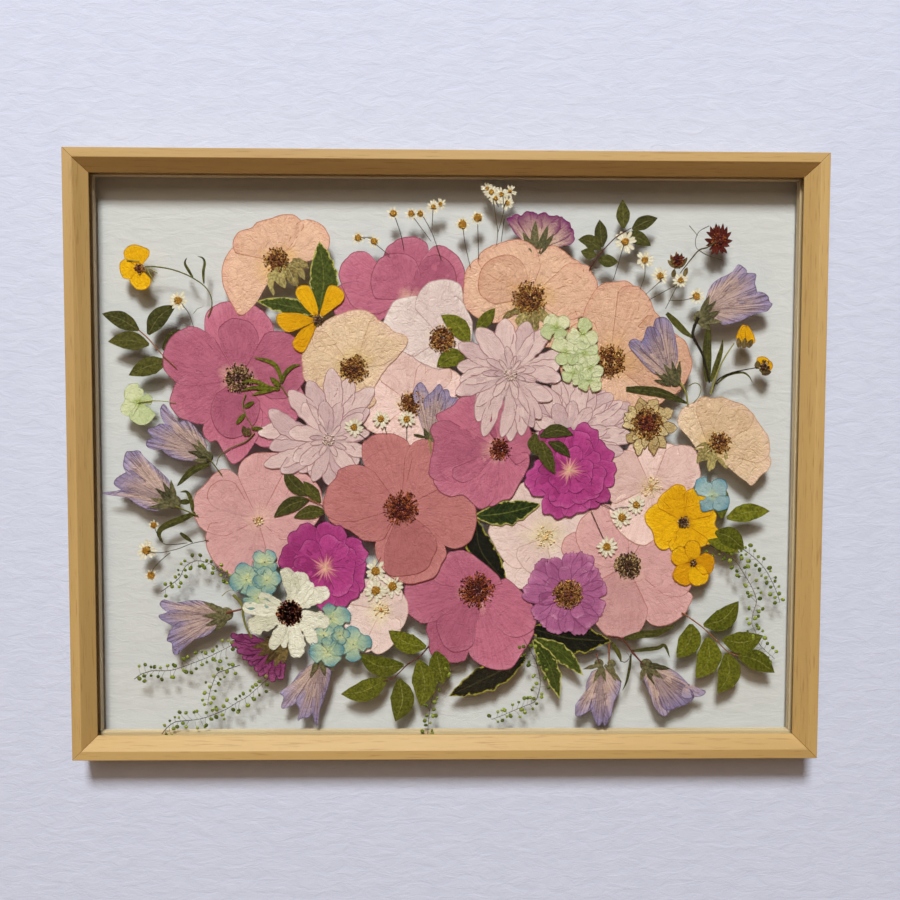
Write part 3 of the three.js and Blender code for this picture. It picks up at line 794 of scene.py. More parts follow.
flower("peach_cream", 3, (186, 6), [
    [(180, 2), (172, 14), (164, 23), (163, 29), (165, 34), (169, 38), (175, 41), (180, 44.5), (188, 42)],
    [(228, 8), (230.5, -2), (228, -8), (222, -13), (217, -19), (213, -16), (206, -11), (203, -5), (199, 0)],
    [(206, 38), (215, 34), (219, 29), (223, 23), (227, 18), (229, 12), (229, 3), (224, -4)],
    [(174, 38), (180, 44.5), (188, 43.5), (195, 44), (203, 41), (210, 38.5), (217, 32), (218, 24)],
], cream, "petal_cream")

# ---------------------------------------------------------------------------
# White flowers: thin single blooms gone ivory and faint lavender in the press,
# so clear that the petals below show as darker shapes.
ivory = petal_finish(
    "ivory_petal", (0.78, 0.7, 0.54), (0.78, 0.66, 0.68), (0.84, 0.76, 0.78), (0.4, 0.25, 0.26),
    vein_share=0.14, crease=0.2, through=0.22, deep_tone_and_shade=(0.88, 0.84, 0.86), crinkle=0.5,
)
flower("white_lavender", 2, (-4, 84), [
    [(14, 78), (6, 68), (-6, 63), (-18, 67), (-28, 72)],
    [(-26, 70), (-38, 80), (-46, 90), (-44, 100), (-38, 110.5), (-30, 113.5), (-21, 114), (-16, 106)],
    [(4, 118), (10.5, 110), (14, 103), (17, 97), (17, 88), (15, 76), (8, 66)],
    [(-26, 108), (-18, 120), (-13, 124), (-8, 125.5), (0, 126), (5, 124.5), (9, 121.5), (10.5, 113),
     (10, 102)],
], ivory, "petal_white")
blush = petal_finish(
    "blush_petal", (0.88, 0.8, 0.54), (0.86, 0.7, 0.7), (0.88, 0.74, 0.74), (0.45, 0.24, 0.18),
    vein_share=0.18, crease=0.16, through=0.22, veins=16.0, edge_shadow_share=0.6, deep_tone_and_shade=(0.9, 0.85, 0.86), spread=0.5,
)
flower("white_pink", 0, (70, -56), [
    [(74, -86), (60, -93), (48, -92), (41, -84), (39, -76), (46, -66)],
    [(98, -58), (97, -74), (86, -84), (72, -90), (62, -84)],
    [(82, -26), (98, -34), (107, -48), (106, -62), (94, -74)],
    [(50, -82), (41, -74), (34, -63), (29, -52), (33, -44), (44, -38), (56, -38)],
    [(40, -42), (44, -28), (52, -18), (66, -15), (82, -20), (94, -36)],
    [(76, -82), (66, -84), (56, -80), (50, -72), (48, -64)],
], blush, "petal_cream")
flower("pale_petals", 2, (-47, -108), [
    [(-50, -138), (-62, -138), (-71, -126), (-75, -112), (-70, -102)],
    [(-34, -92), (-28, -104), (-30, -118), (-38, -126)],
    [(-32, -116), (-36, -130), (-48, -140), (-60, -134)],
    [(-72, -104), (-70, -92), (-62, -86), (-52, -86)],
    [(-60, -88), (-48, -82), (-36, -87), (-30, -100)],
], blush, "petal_cream")

# ---------------------------------------------------------------------------
# Stamens: the bristling middles of the open flowers, dried dark, each a mat of
# crushed filaments round a seedy core with the anthers still on their tips.
STAMEN_RISE = 0.55 * MM
STAMEN_WIDTH = 0.36
CORE_SEEDS = 2.2
THREAD_STEP = 1.5


def spot(centre, turn, far):
    """The place that lies far from centre in the direction turn."""
    return centre[0] + far * math.cos(turn), centre[1] + far * math.sin(turn)


def thread(pressing, points, width, rise, seed, sides=5, ends=(1, 0.6), **shading):
    """A thin round stem along points, width mm thick, lying rise above the rear pane."""
    line = soft_line(points, max(4, int(length_of(points) / THREAD_STEP)))
    along = np.linspace(0, 1, len(line))[:, None]
    way = directions(line)
    turn = np.linspace(0, 2 * np.pi, sides + 1)[None, :-1]
    thick = width / 2 * (ends[0] + (ends[1] - ends[0]) * along)
    thick = thick * (1 + 0.12 * crumple(line[:, :1], line[:, 1:], 4, seed))
    x = line[:, :1] - way[:, 1:] * thick * np.cos(turn)
    z = line[:, 1:] + way[:, :1] * thick * np.cos(turn)
    wave = crumple(line[:, :1], line[:, 1:], 14, seed + 1) * 0.1 * MM
    lift = rise + wave + 0.6 * thick * MM * np.sin(turn)
    shading.setdefault("tone", np.random.default_rng(seed).uniform(0, 1))
    pressing.grid(x, z, lift, wrap=True, along=along, **shading)


def bead(pressing, x, z, radius, rise, flat=0.6, rows=5, columns=8, stretch=1.0, turn=0.0, **shading):
    """A small rounded seed, bud or anther."""
    down = np.linspace(0.06, np.pi - 0.06, rows)[:, None]
    around = np.linspace(0, 2 * np.pi, columns + 1)[None, :-1]
    long_way = radius * stretch * np.sin(down) * np.cos(around)
    short_way = radius * np.sin(down) * np.sin(around)
    height = radius * flat * np.cos(down) * np.ones_like(around)
    turned_x = x + long_way * math.cos(turn) - short_way * math.sin(turn)
    turned_z = z + long_way * math.sin(turn) + short_way * math.cos(turn)
    pressing.grid(
        turned_x, turned_z, rise + height * MM, wrap=True, along=(height / radius + 1) / 2, **shading
    )


def speckled_finish(name, dark, mid, light):
    """A dry finish whose colour runs from dark to light from one bead or thread to the next."""
    material, tree = new_tree(name)
    tone = add_node(tree, "ShaderNodeAttribute", attribute_name="tone").outputs["Fac"]
    mottle = noise(tree, object_place(tree), 700, 3, 0.6)
    key = sums(tree, "ADD", sums(tree, "MULTIPLY", tone, 0.7), sums(tree, "MULTIPLY", mottle, 0.3))
    show(tree, add_node(tree, "ShaderNodeBsdfPrincipled", {
        "Base Color": ramp(tree, key, (0.2, dark), (0.5, mid), (0.8, light)),
        "Roughness": 0.75,
        "Specular IOR Level": 0.15,
        "Normal": add_node(tree, "ShaderNodeBump", {
            "Strength": 0.5, "Distance": 0.0002, "Height": mottle,
        }).outputs[0],
    }).outputs[0])
    return material


def tuft(name, centre, radius, layer, material, count=110, core=0.6, reach=(0.6, 1.0)):
    """A mat of filaments and anthers round a crushed core."""
    dice = np.random.default_rng(len(name) * 17 + int(radius * 10))
    pressing = Pressing()
    rise = layer_rise(layer) + STAMEN_RISE
    for _ in range(int(count * core * CORE_SEEDS)):
        far = radius * core * math.sqrt(dice.uniform())
        turn = dice.uniform(0, 6.3)
        bead(
            pressing, *spot(centre, turn, far), dice.uniform(0.6, 1.2), rise - dice.uniform(0, 0.3) * MM,
            0.4, 4, 6, tone=dice.uniform(0, 0.6),
        )
    for number in range(count):
        turn = dice.uniform(0, 6.3)
        bend = turn + dice.normal(0, 0.25)
        near = radius * core * 0.5
        far = radius * dice.uniform(*reach)
        half_way = spot(centre, (turn + bend) / 2, (near + far) / 2)
        tip = spot(centre, bend, far)
        height = rise + dice.uniform(-0.35, 0.1) * MM
        thread(
            pressing, [spot(centre, turn, near), half_way, tip], STAMEN_WIDTH, height, number, 4,
            tone=dice.uniform(0.45, 0.95),
        )
        bead(pressing, *tip, dice.uniform(0.4, 0.75), height, 0.7, 4, 5, tone=dice.uniform(0.1, 0.95))
    pressing.piece(name + "_stamens", material, "stamen_brown")


rusty = speckled_finish("rusty_stamens", (0.02, 0.003, 0.003), (0.085, 0.011, 0.009), (0.46, 0.13, 0.03))
seedy = speckled_finish("seedy_stamens", (0.014, 0.006, 0.004), (0.07, 0.03, 0.015), (0.7, 0.52, 0.24))
golden = speckled_finish("golden_stamens", (0.03, 0.008, 0.004), (0.16, 0.055, 0.018), (0.66, 0.4, 0.1))
tuft("mauve_left", (-147, 56), 11, 1.8, seedy, 80, 0.75, (0.75, 1.0))
tuft("mauve_middle", (37, 7), 8.5, 6.4, rusty, 80)
tuft("mauve_bottom", (21, -94), 13.5, 1.8, rusty, 170)
tuft("dusty_rose", (-33, -35), 13, 6, rusty, 170)
tuft("pink_rose_right", (129, -76), 10, 2.6, seedy, 110, 0.75, (0.75, 1.0))
tuft("peach_side", (-120, 139), 9, 2.6, golden, 90)
tuft("peach_large", (57, 113), 12.5, 2, golden, 150, 0.7)
tuft("orange_peach", (114, 69), 12.5, 2.9, golden, 150, 0.75)
tuft("cream_rose", (-66, 63), 10.5, 3.9, golden, 130, 0.7)
tuft("pink_cream", (-26, 39), 9.5, 1.7, golden, 100)
tuft("peach_cream", (193, 12), 8.5, 3.7, golden, 90)
tuft("white_lavender", (-4, 84), 10, 2.7, golden, 120, 0.75)
pale = speckled_finish("pale_stamens", (0.36, 0.17, 0.06), (0.72, 0.52, 0.26), (0.84, 0.76, 0.5))
tuft("white_pink", (70, -56), 8, 0.5, pale, 34, 0.2, (0.5, 1.0))
tuft("pale_petals", (-47, -108), 6, 2.5, pale, 24, 0.2, (0.5, 1.0))
tuft("pale_pink_right", (145, -20), 8, 2.5, pale, 34, 0.2, (0.5, 1.0))
tuft("pale_pink_left", (-134, -44), 4, 1.8, pale, 16, 0.3)

# ---------------------------------------------------------------------------
# Lilac asters: double flowers of long strap petals in several rings, pressed
# face up so that each ring lies flat on the one below.
THINNEST = 0.02
FOOT_SHARE = 0.07


def blade(pressing, line, width, rise, seed, widest=0.5, tip=0.7, foot=0.3, blunt=0.0, step=1.3,
          ripple=0.08, relief=0.08, cup=0.06):
    """A leaf or strap petal along a line from its foot to its tip."""
    length = length_of(line)
    rows = max(6, int(length / step))
    axis = soft_line(line, rows)
    columns = max(5, int(width / step) // 2 * 2 + 1)
    along = np.linspace(0, 1, rows)[:, None]
    across = np.linspace(-1, 1, columns)[None, :]
    way = directions(axis)
    grown = foot + (1 - foot) * np.sin(np.pi / 2 * np.clip(along / widest, 0, 1))
    closing = np.clip((along - widest) / (1 - widest), 0, 1)
    shape = grown * (blunt + (1 - blunt) * (1 - closing ** 2) ** tip)
    half = width / 2 * shape * (1 + ripple * crumple(along * length, np.sign(across) * 40, 6, seed))
    half = np.maximum(half, THINNEST)
    tooth = crumple(across * width / 2, across * 0, 3.2, seed + 1) * blunt * width * 0.12 * along ** 4
    x = axis[:, :1] - way[:, 1:] * across * half + way[:, :1] * tooth
    z = axis[:, 1:] + way[:, :1] * across * half + way[:, 1:] * tooth
    folds = crumple(across * width / 5, along * length / 14, 1.2, seed + 2)
    dents = crumple(x, z, 12, seed + 3)
    lift = rise + relief * MM * (folds * 0.6 + dents * 0.6) + cup * MM * across ** 2
    inset = np.minimum((1 - np.abs(across)) * half, (1 - along) * length + blunt * 0.3)
    tone = np.random.default_rng(seed).uniform(0, 1)
    pressing.grid(x, z, lift, along=along, across=across, inset=inset, tone=tone)


def rayed_flower(name, layer, centre, rays, material, slot, rings=(), **how):
    """A flower of strap petals: listed outer ones (x, z, width), then even inner rings."""
    pressing = Pressing()
    dice = np.random.default_rng(len(name) * 13 + len(rays))
    rise = layer_rise(layer)
    for order, (x, z, width) in enumerate(rays):
        near = (centre[0] + (x - centre[0]) * FOOT_SHARE, centre[1] + (z - centre[1]) * FOOT_SHARE)
        sway = dice.normal(0, 0.05) * np.array([centre[1] - z, x - centre[0]])
        half_way = (np.array(near) + (x, z)) / 2 + sway
        height = rise + (order % 4) * SHEET_RISE
        blade(pressing, [near, half_way, (x, z)], width, height, order * 5 + len(name), **how)
    for ring, (reach, count, width) in enumerate(rings):
        start = dice.uniform(0, 1)
        for number in range(count):
            turn = 2 * np.pi * (number + start + dice.uniform(-0.2, 0.2)) / count
            bend = turn + dice.normal(0, 0.1)
            far = reach * dice.uniform(0.88, 1.08)
            half_way = spot(centre, (turn + bend) / 2, far * 0.5)
            line = [spot(centre, turn, 1.0), half_way, spot(centre, bend, far)]
            height = rise + (3.4 + ring * 1.8 + number % 2) * SHEET_RISE
            blade(pressing, line, width * dice.uniform(0.85, 1.1), height, number + ring * 40, **how)
    pressing.piece(name + "_petals", material, slot, name)


lilac = petal_finish(
    "lilac_petal", (0.5, 0.4, 0.42), (0.72, 0.56, 0.58), (0.82, 0.68, 0.7), (0.26, 0.1, 0.13),
    vein_share=0.3, crease=0.05, through=0.18, veins=6.0, edge_shadow_share=0.75, deep_tone_and_shade=(0.86, 0.8, 0.86), crinkle=0.2,
)
rayed_flower("lilac_right", 3, (86, 17), [
    (58, 45, 14), (103, 49, 14), (129, 33, 13), (125, 5, 13), (72, 48, 14), (117, 46, 14), (133, 15, 14),
    (110, -6, 12), (64, 2, 12), (85, 60, 15), (129, 40, 13), (96, 54, 13), (128, 24, 12), (55, 30, 13),
    (58, 13, 13), (66, 52, 13), (111, 49, 12), (76, 57, 13), (124, 41, 11),
], lilac, "petal_lilac", [(26, 10, 11)], widest=0.62, tip=0.6, foot=0.2)
rayed_flower("lilac_left", 4, (-84, 13.5), [
    (-134, 18, 14), (-52, 50, 14), (-118, -10, 13), (-98, 55, 14), (-82, -20, 13), (-63, -4, 13),
    (-130, -5, 12), (-112, 48, 14), (-68, 58, 14), (-93, -16, 13), (-55, 35, 12), (-126, 34.5, 14),
    (-105, -10, 12), (-126, 7, 13), (-82, 64, 14), (-72, -14, 12), (-56, 18, 12),
], lilac, "petal_lilac", [(31, 11, 11), (14, 9, 4)], widest=0.62, tip=0.6, foot=0.2)
rayed_flower("lilac_middle", 7, (44, 60), [
    (7, 81, 13), (70, 91, 14), (5, 46, 13), (52, 16, 11), (56, 97, 15), (21, 26, 11), (79, 67, 13),
    (20, 92, 15), (6, 65, 13), (25, 15.5, 11), (44, 12, 11), (66, 28, 11), (40, 99, 16), (79, 76, 13),
    (8, 55, 12), (38, 15, 10), (20, 37, 11), (74, 42, 12), (60, 22, 11), (80, 56, 12),
], lilac, "petal_lilac", [(20, 7, 6), (13, 9, 3.6)], widest=0.62, tip=0.6, foot=0.2)
lilac_heart = speckled_finish("lilac_heart", (0.38, 0.25, 0.27), (0.56, 0.43, 0.43), (0.76, 0.62, 0.54))
tuft("lilac_left", (-84, 13.5), 4.5, 5.0, lilac_heart, 34, 0.4)
tuft("lilac_middle", (44, 60), 5, 7.2, lilac_heart, 40, 0.45)

# ---------------------------------------------------------------------------
# Magenta rosettes: double flowers packed with small notched petals, ring over
# ring, faded to a pale star where the petals meet.
NOTCHED_RIM = (0.72, 0.93, 1.0, 0.95, 1.0, 0.93, 0.72)
STAR_RAYS = 22


def ruffled_flower(name, layer, centre, painted_edge_shadow, rings, material, star_material, slot):
    """A double flower that fills an outline with rings of notched petals, and its pale star."""
    pressing = Pressing()
    dice = np.random.default_rng(len(name) * 19)
    away = np.array(painted_edge_shadow, float) - centre
    turns = np.arctan2(away[:, 1], away[:, 0])
    reaches = np.hypot(*away.T)
    for ring, (share, count) in enumerate(rings):
        start = dice.uniform(0, 1)
        for number in range(count):
            turn = 2 * np.pi * (number + start + dice.uniform(-0.18, 0.18)) / count
            spread = 2 * np.pi / count * dice.uniform(0.62, 0.8)
            full = share * dice.uniform(0.93, 1.03)
            rim = []
            for k, trim in enumerate(NOTCHED_RIM):
                angle = turn + spread * (k / 3 - 1)
                reach = np.interp(angle, turns, reaches, period=2 * np.pi) * full * trim
                rim.append(spot(centre, angle, reach))
            rise = layer_rise(layer) + (ring * 1.6 + number % 2) * SHEET_RISE
            petal(pressing, centre, rim, rise, ring * 50 + number, 1.5, ruffle=0.5, relief=0.2)
    pressing.piece(name + "_petals", material, slot, name)
    # Here rise is still that of the last petal, so the star lies on top of them all.
    star = Pressing()
    for number in range(STAR_RAYS):
        turn = 2 * np.pi * (number + dice.uniform(-0.3, 0.3)) / STAR_RAYS
        tip = spot(centre, turn, dice.uniform(6, 15))
        top = rise + (4 + number % 3) * SHEET_RISE
        blade(star, [centre, tip], dice.uniform(0.8, 1.6), top, number, widest=0.3, tip=1.2, relief=0.02)
    star.piece(name + "_star", star_material, slot)


magenta = petal_finish(
    "magenta_petal", (0.62, 0.17, 0.31), (0.44, 0.055, 0.26), (0.51, 0.1, 0.325), (0.12, 0.004, 0.07),
    vein_share=0.25, crease=0.12, edge_shadow_share=0.85, spread=0.3,
)
pale_star = petal_finish(
    "magenta_star", (0.85, 0.62, 0.42), (0.78, 0.4, 0.36), (0.5, 0.09, 0.26), (0.5, 0.1, 0.25),
    vein_share=0.1, edge_shadow_share=0.3, edge=0.4,
)
ruffled_flower("magenta_left", 6, (-86.5, -77.5), [
    (-81, -44), (-95, -44), (-108, -50), (-116, -62), (-122, -71), (-120, -76), (-115, -79), (-112, -88),
    (-104, -84), (-99, -90), (-95, -105.5), (-88, -110), (-80, -108), (-73, -108), (-62, -100), (-59, -92),
    (-58, -80), (-55, -65), (-59, -58), (-68, -52), (-75, -47),
], ((1.0, 8), (0.74, 6)), magenta, pale_star, "petal_magenta")
ruffled_flower("magenta_right", 5, (86, -8), [
    (63, 18), (72, 24), (80, 25), (84, 23), (91, 28), (95, 28), (105, 23), (110, 13), (118, 5), (121, -5),
    (119, -19), (115, -30.5), (107, -35), (99, -38), (90, -41), (81, -43), (68, -38), (65, -30), (55, -24),
    (52, -14), (59, -4), (62, 2), (63, 10),
], ((1.0, 10), (0.8, 8), (0.52, 5)), magenta, pale_star, "petal_magenta")

# ---------------------------------------------------------------------------
# Daisies: a purple one with fine toothed rays and a white one with long loose
# rays, both round a dark seeded disc.
purple = petal_finish(
    "purple_petal", (0.42, 0.14, 0.28), (0.45, 0.15, 0.34), (0.58, 0.26, 0.46), (0.15, 0.02, 0.1),
    vein_share=0.45, crease=0.15, veins=6.0, edge_shadow_share=0.6,
)
rayed_flower("purple_daisy", 4, (86, -96.5), [
    (64, -74, 14), (89, -67, 15), (110, -85, 14), (112, -108, 14), (95, -126, 14), (76, -125, 14),
    (61, -112, 13), (54, -95, 14), (74, -71, 14), (100, -68, 15), (113.5, -92, 13), (105, -119, 15),
    (67, -118, 13), (59, -83, 14), (105, -76, 13), (86, -124, 12),
], purple, "petal_violet", [(20, 7, 11)], widest=0.72, tip=0.45, foot=0.25, blunt=0.55)
tuft("purple_daisy", (86, -96.5), 11, 4.9, golden, 150, 0.75, (0.75, 1.0))
white = petal_finish(
    "white_petal", (0.74, 0.7, 0.42), (0.85, 0.86, 0.78), (0.88, 0.89, 0.84), (0.4, 0.38, 0.27),
    vein_share=0.5, crease=0.16, veins=7.0, through=0.18, edge_shadow_share=0.42, deep_tone_and_shade=(0.82, 0.82, 0.76), crinkle=0.7,
    branching=0.7,
)
rayed_flower("white_daisy", 8, (-112, -109), [
    (-141, -120, 14), (-104, -80.5, 14), (-84, -117, 12), (-125, -136, 9), (-94, -133, 9), (-116, -78, 11),
    (-145, -105, 10), (-107, -142, 12), (-84, -94, 12), (-116, -135, 6), (-134, -97, 8), (-96, -88, 10),
], white, "petal_white", widest=0.68, tip=0.5, foot=0.3, blunt=0.35, ripple=0.16, relief=0.25)
tuft("white_daisy", (-112, -110), 9.5, 8.2, rusty, 150, 0.8, (0.75, 1.0))

# ---------------------------------------------------------------------------
# Yellow flowers: a buttercup on its stem, a four-petalled one and a primrose
# pair, all bright yellow and hardly faded.
PRIMROSE_HEART = (175.5, -74)
PRIMROSE_STRETCH = 0.45

yellow = petal_finish(
    "yellow_petal", (0.42, 0.18, 0.003), (0.79, 0.45, 0.005), (0.83, 0.54, 0.02), (0.36, 0.12, 0.002),
    vein_share=0.4, crease=0.14, spread=0.26, deep_tone_and_shade=(0.84, 0.68, 0.5), crinkle=0.6,
)
flower("buttercup", 2, (-215, 132.2), [
    [(-223, 126), (-222, 122.5), (-217.5, 118), (-213, 117.3), (-209, 119.5), (-207, 124), (-210, 128)],
    [(-225, 140), (-228.5, 136), (-229, 131), (-227, 126), (-222, 124)],
    [(-226.5, 140), (-226, 144), (-223, 147.5), (-218.5, 148.8), (-213, 147.6), (-208.5, 145.5),
     (-207.5, 142)],
], yellow, "petal_yellow", 1.1)
flower("four_petal_yellow", 5, (-91, 97), [
    [(-101, 106), (-107, 116), (-103, 121), (-98, 121), (-95, 117), (-91, 106)],
    [(-88, 108), (-84, 120), (-79, 121), (-74, 118), (-72.5, 114), (-75, 109), (-82, 104.5)],
    [(-104, 102), (-116, 102), (-120, 100), (-119, 94), (-113, 88.5), (-106, 90)],
    [(-104, 90), (-109, 81), (-107, 76.5), (-102.5, 74), (-99, 78), (-95, 86)],
], yellow, "petal_yellow", 1.2)
flower("primrose", 4, (168.5, -45), [
    [(189, -34), (192, -40), (191, -47), (195, -53), (190, -60), (182, -62)],
    [(160, -64), (153, -65), (148, -60), (146, -52), (141, -45), (141, -38), (146, -33), (152, -28)],
    [(188, -58), (184, -62), (176, -63), (170, -62), (162, -66.5), (156, -62)],
    [(168, -22), (176, -21), (181, -26), (187, -27), (191, -32), (190, -40)],
    [(148, -34), (150, -28), (156, -22), (162, -18), (168, -19), (171, -25)],
], yellow, "petal_yellow", 1.2)
primrose_small = Pressing()
for order, (x, z, radius) in enumerate((
    (165, -69, 7), (175, -63, 6), (168, -84, 8), (186, -75, 8), (180, -85, 7.5),
)):
    tip = (x + (x - PRIMROSE_HEART[0]) * PRIMROSE_STRETCH, z + (z - PRIMROSE_HEART[1]) * PRIMROSE_STRETCH)
    blade(
        primrose_small, [PRIMROSE_HEART, tip], radius * 2, layer_rise(5.2) + order * SHEET_RISE, order,
        widest=0.6, tip=0.5, foot=0.15, blunt=0.25,
    )
primrose_small.piece("primrose_small_petals", yellow, "petal_yellow")
tuft("buttercup", (-215, 132.2), 4, 2.1, golden, 30, 0.7)
tuft("four_petal_yellow", (-91, 97), 4, 5.1, seedy, 30, 0.7)
tuft("primrose", (168.5, -45), 4.5, 4.4, seedy, 34, 0.7)
tuft("primrose_small", PRIMROSE_HEART, 2.5, 5.6, seedy, 16, 0.7)

# ---------------------------------------------------------------------------
# Bellflowers: pressed from the side, the bell folded flat on itself in deep
# lengthwise creases, tan at the throat and lilac-blue at the lobes.
BELL_PETAL = {"relief": 0.35, "ruffle": 0.35, "step": 1.2}
MARGIN_WIDTH = 0.7

bell = petal_finish(
    "bell_petal", (0.34, 0.22, 0.12), (0.58, 0.43, 0.4), (0.33, 0.29, 0.51), (0.09, 0.05, 0.08),
    vein_share=0.85, crease=0.12, through=0.22, veins=6.0, edge_shadow_share=0.7, edge=0.6, deep_tone_and_shade=(0.66, 0.66, 0.82),
    crinkle=0.6, branching=0.5,
)
flower("bell_middle", 4, (-13, 12), [
    [(-19, 24), (-23, 38), (-24.5, 47), (-19.5, 54), (-12, 46)],
    [(-6, 50), (0, 49), (2, 44), (7, 42.5), (4, 38), (-2, 28)],
    [(-18, 43), (-11.5, 47), (-6, 52.5), (-2, 46), (-1, 36)],
], bell, "petal_lilac", **BELL_PETAL)
flower("bell_right", 4, (158, 57), [
    [(144, 61), (134, 72), (127.5, 80.5), (131, 85), (140, 82)],
    [(143, 94), (144, 96.5), (148, 100), (155, 99), (160, 88), (163, 72)],
    [(133, 80), (137, 84), (139, 90), (141.5, 94), (149, 92)],
], bell, "petal_lilac", **BELL_PETAL)
flower("bell_upper_right", 2, (181, 105), [
    [(182, 116), (185, 122), (190, 127), (200, 132), (204, 137), (210, 134), (211, 127)],
    [(213, 120), (222, 118), (226, 115.5), (226.5, 111.5), (229, 110), (227, 106), (224.5, 104.5), (215, 102),
     (205, 97), (195, 95), (188, 97)],
    [(205, 131), (211, 131.5), (217, 130.5), (216.5, 125), (217.5, 118), (214, 111)],
], bell, "petal_lilac", **BELL_PETAL)
flower("bell_left_upper", 3, (-171, 3), [
    [(-169, 10), (-177, 21), (-183, 26.5), (-190, 26), (-196, 31), (-198.5, 37.5), (-201, 37), (-202, 31),
     (-199, 22)],
    [(-203, 15), (-211, 13), (-212, 9), (-208, 6), (-203, 7), (-197, 2), (-190, -1), (-182, -2), (-176, -3)],
    [(-199, 26), (-207, 21.5), (-211.5, 20), (-209, 16), (-203, 11)],
], bell, "petal_lilac", **BELL_PETAL)
flower("bell_left_lower", 2, (-196, -30), [
    [(-195, -22), (-197, -15), (-203, -9), (-214, 1), (-217, 5), (-224, 5), (-227, 3), (-229, -5),
     (-226, -13)],
    [(-229, -21), (-234, -23), (-244, -25), (-234, -27), (-227, -28), (-222, -31), (-216, -35), (-208, -37.5),
     (-201, -37)],
    [(-225, -6), (-227, -9.5), (-235.5, -17), (-231, -22), (-225, -26)],
], bell, "petal_lilac", **BELL_PETAL)
flower("bell_bottom_left", 2, (-160, -112), [
    [(-164, -104), (-178, -101), (-187, -102), (-195, -103), (-201, -100.5), (-204, -103), (-203, -107),
     (-198, -111)],
    [(-195, -117), (-198, -124), (-199.5, -130), (-196, -132), (-195.5, -139), (-192, -140), (-190, -134),
     (-182, -130), (-172, -127), (-164, -121)],
    [(-199, -107), (-200, -110), (-205, -112), (-203.5, -115), (-196, -119), (-190, -121)],
], bell, "petal_lilac", **BELL_PETAL)
flower("bell_bottom", 2, (-91, -146), [
    [(-99, -148), (-105, -153), (-112, -162), (-119.5, -168), (-117, -171), (-118.5, -179), (-112, -178),
     (-104, -174)],
    [(-99, -184), (-97, -184), (-93, -192), (-91, -180), (-87, -170), (-84, -160), (-82, -150)],
    [(-110, -175), (-106, -180), (-107, -188.5), (-104, -186.5), (-99, -186), (-95, -179)],
], bell, "petal_lilac", **BELL_PETAL)
flower("bell_bottom_middle", 3, (111, -150), [
    [(103, -153), (100, -162), (99, -171), (93, -176), (92, -181), (93, -186), (99, -184), (106, -180)],
    [(112, -188), (116, -188), (118, -186), (120, -176), (124, -168), (125, -160), (121, -153)],
    [(101, -182), (104, -183), (106, -188), (109, -193), (112, -190), (114, -193), (118, -186)],
], bell, "petal_lilac", **BELL_PETAL)
flower("bell_bottom_right", 4, (145, -150), [
    [(140, -153), (141, -158), (146, -170), (150, -180), (157, -186), (163, -181)],
    [(171, -175), (178, -172), (185, -170), (186, -167), (179, -168), (170, -158), (161, -151), (151, -149)],
    [(156, -183), (164, -180), (172, -177), (178, -172), (176, -165)],
], bell, "petal_lilac", **BELL_PETAL)


def leaf_finish(name, dark, light, vein, margin=None, ribs=9.0, through=0.18):
    """A dried leaf with a midrib, slanting side veins and, if given, a ragged pale margin."""
    material, tree = new_tree(name)
    along, across, tone, inset = shading_values(tree)
    place = object_place(tree)
    mottle = noise(tree, place, 170, 4, 0.65)
    shade = sums(tree, "ADD", sums(tree, "MULTIPLY", tone, 0.45), sums(tree, "MULTIPLY", mottle, 0.55))
    color = ramp(tree, shade, (0.25, dark), (0.75, light))
    aside = sums(tree, "ABSOLUTE", across)
    slant = sums(tree, "SUBTRACT", sums(tree, "MULTIPLY", along, ribs), sums(tree, "MULTIPLY", aside, 1.5))
    side_ribs = fade(tree, ridges(tree, sums(tree, "FRACT", slant)), 0.0, 0.12, 0.22)
    midrib = fade(tree, aside, 0.02, 0.07, 0.8)
    ribbing = sums(tree, "MAXIMUM", side_ribs, midrib)
    color = mixed(tree, ribbing, color, vein)
    net = noise(tree, place, 650, 3, 0.6)
    color = mixed(
        tree, 1.0, color, ramp(tree, net, (0.38, (0.55, 0.55, 0.6)), (0.62, (1.3, 1.3, 1.3))), "MULTIPLY"
    )
    if margin:
        shred = noise(tree, place, 420, 3, 0.7)
        ragged = sums(tree, "ADD", inset, sums(tree, "MULTIPLY", sums(tree, "SUBTRACT", shred, 0.5), 5.0))
        pale_edge = fade(tree, sums(tree, "DIVIDE", ragged, MARGIN_WIDTH * 2), 0.4, 0.7)
        color = mixed(tree, pale_edge, color, margin)
    height = sums(tree, "SUBTRACT", sums(tree, "ADD", mottle, net), sums(tree, "MULTIPLY", ribbing, 0.6))
    thin_skin(tree, color, 0.62, 0.1, height, 0.7, through)
    return material


def leaves(name, layer, blades, material, slot="leaf_olive", replaced=None, widest=0.44, tip=1.05,
           foot=0.15, ripple=0.04, **how):
    """A group of leaves or sepals, each given as (line, width)."""
    pressing = Pressing()
    for order, (line, width) in enumerate(blades):
        rise = layer_rise(layer) + (order % 5) * SHEET_RISE
        blade(
            pressing, line, width, rise, order * 3 + len(name), widest=widest, tip=tip, foot=foot, step=0.9,
            ripple=ripple, **how,
        )
    pressing.piece(name, material, slot, replaced)


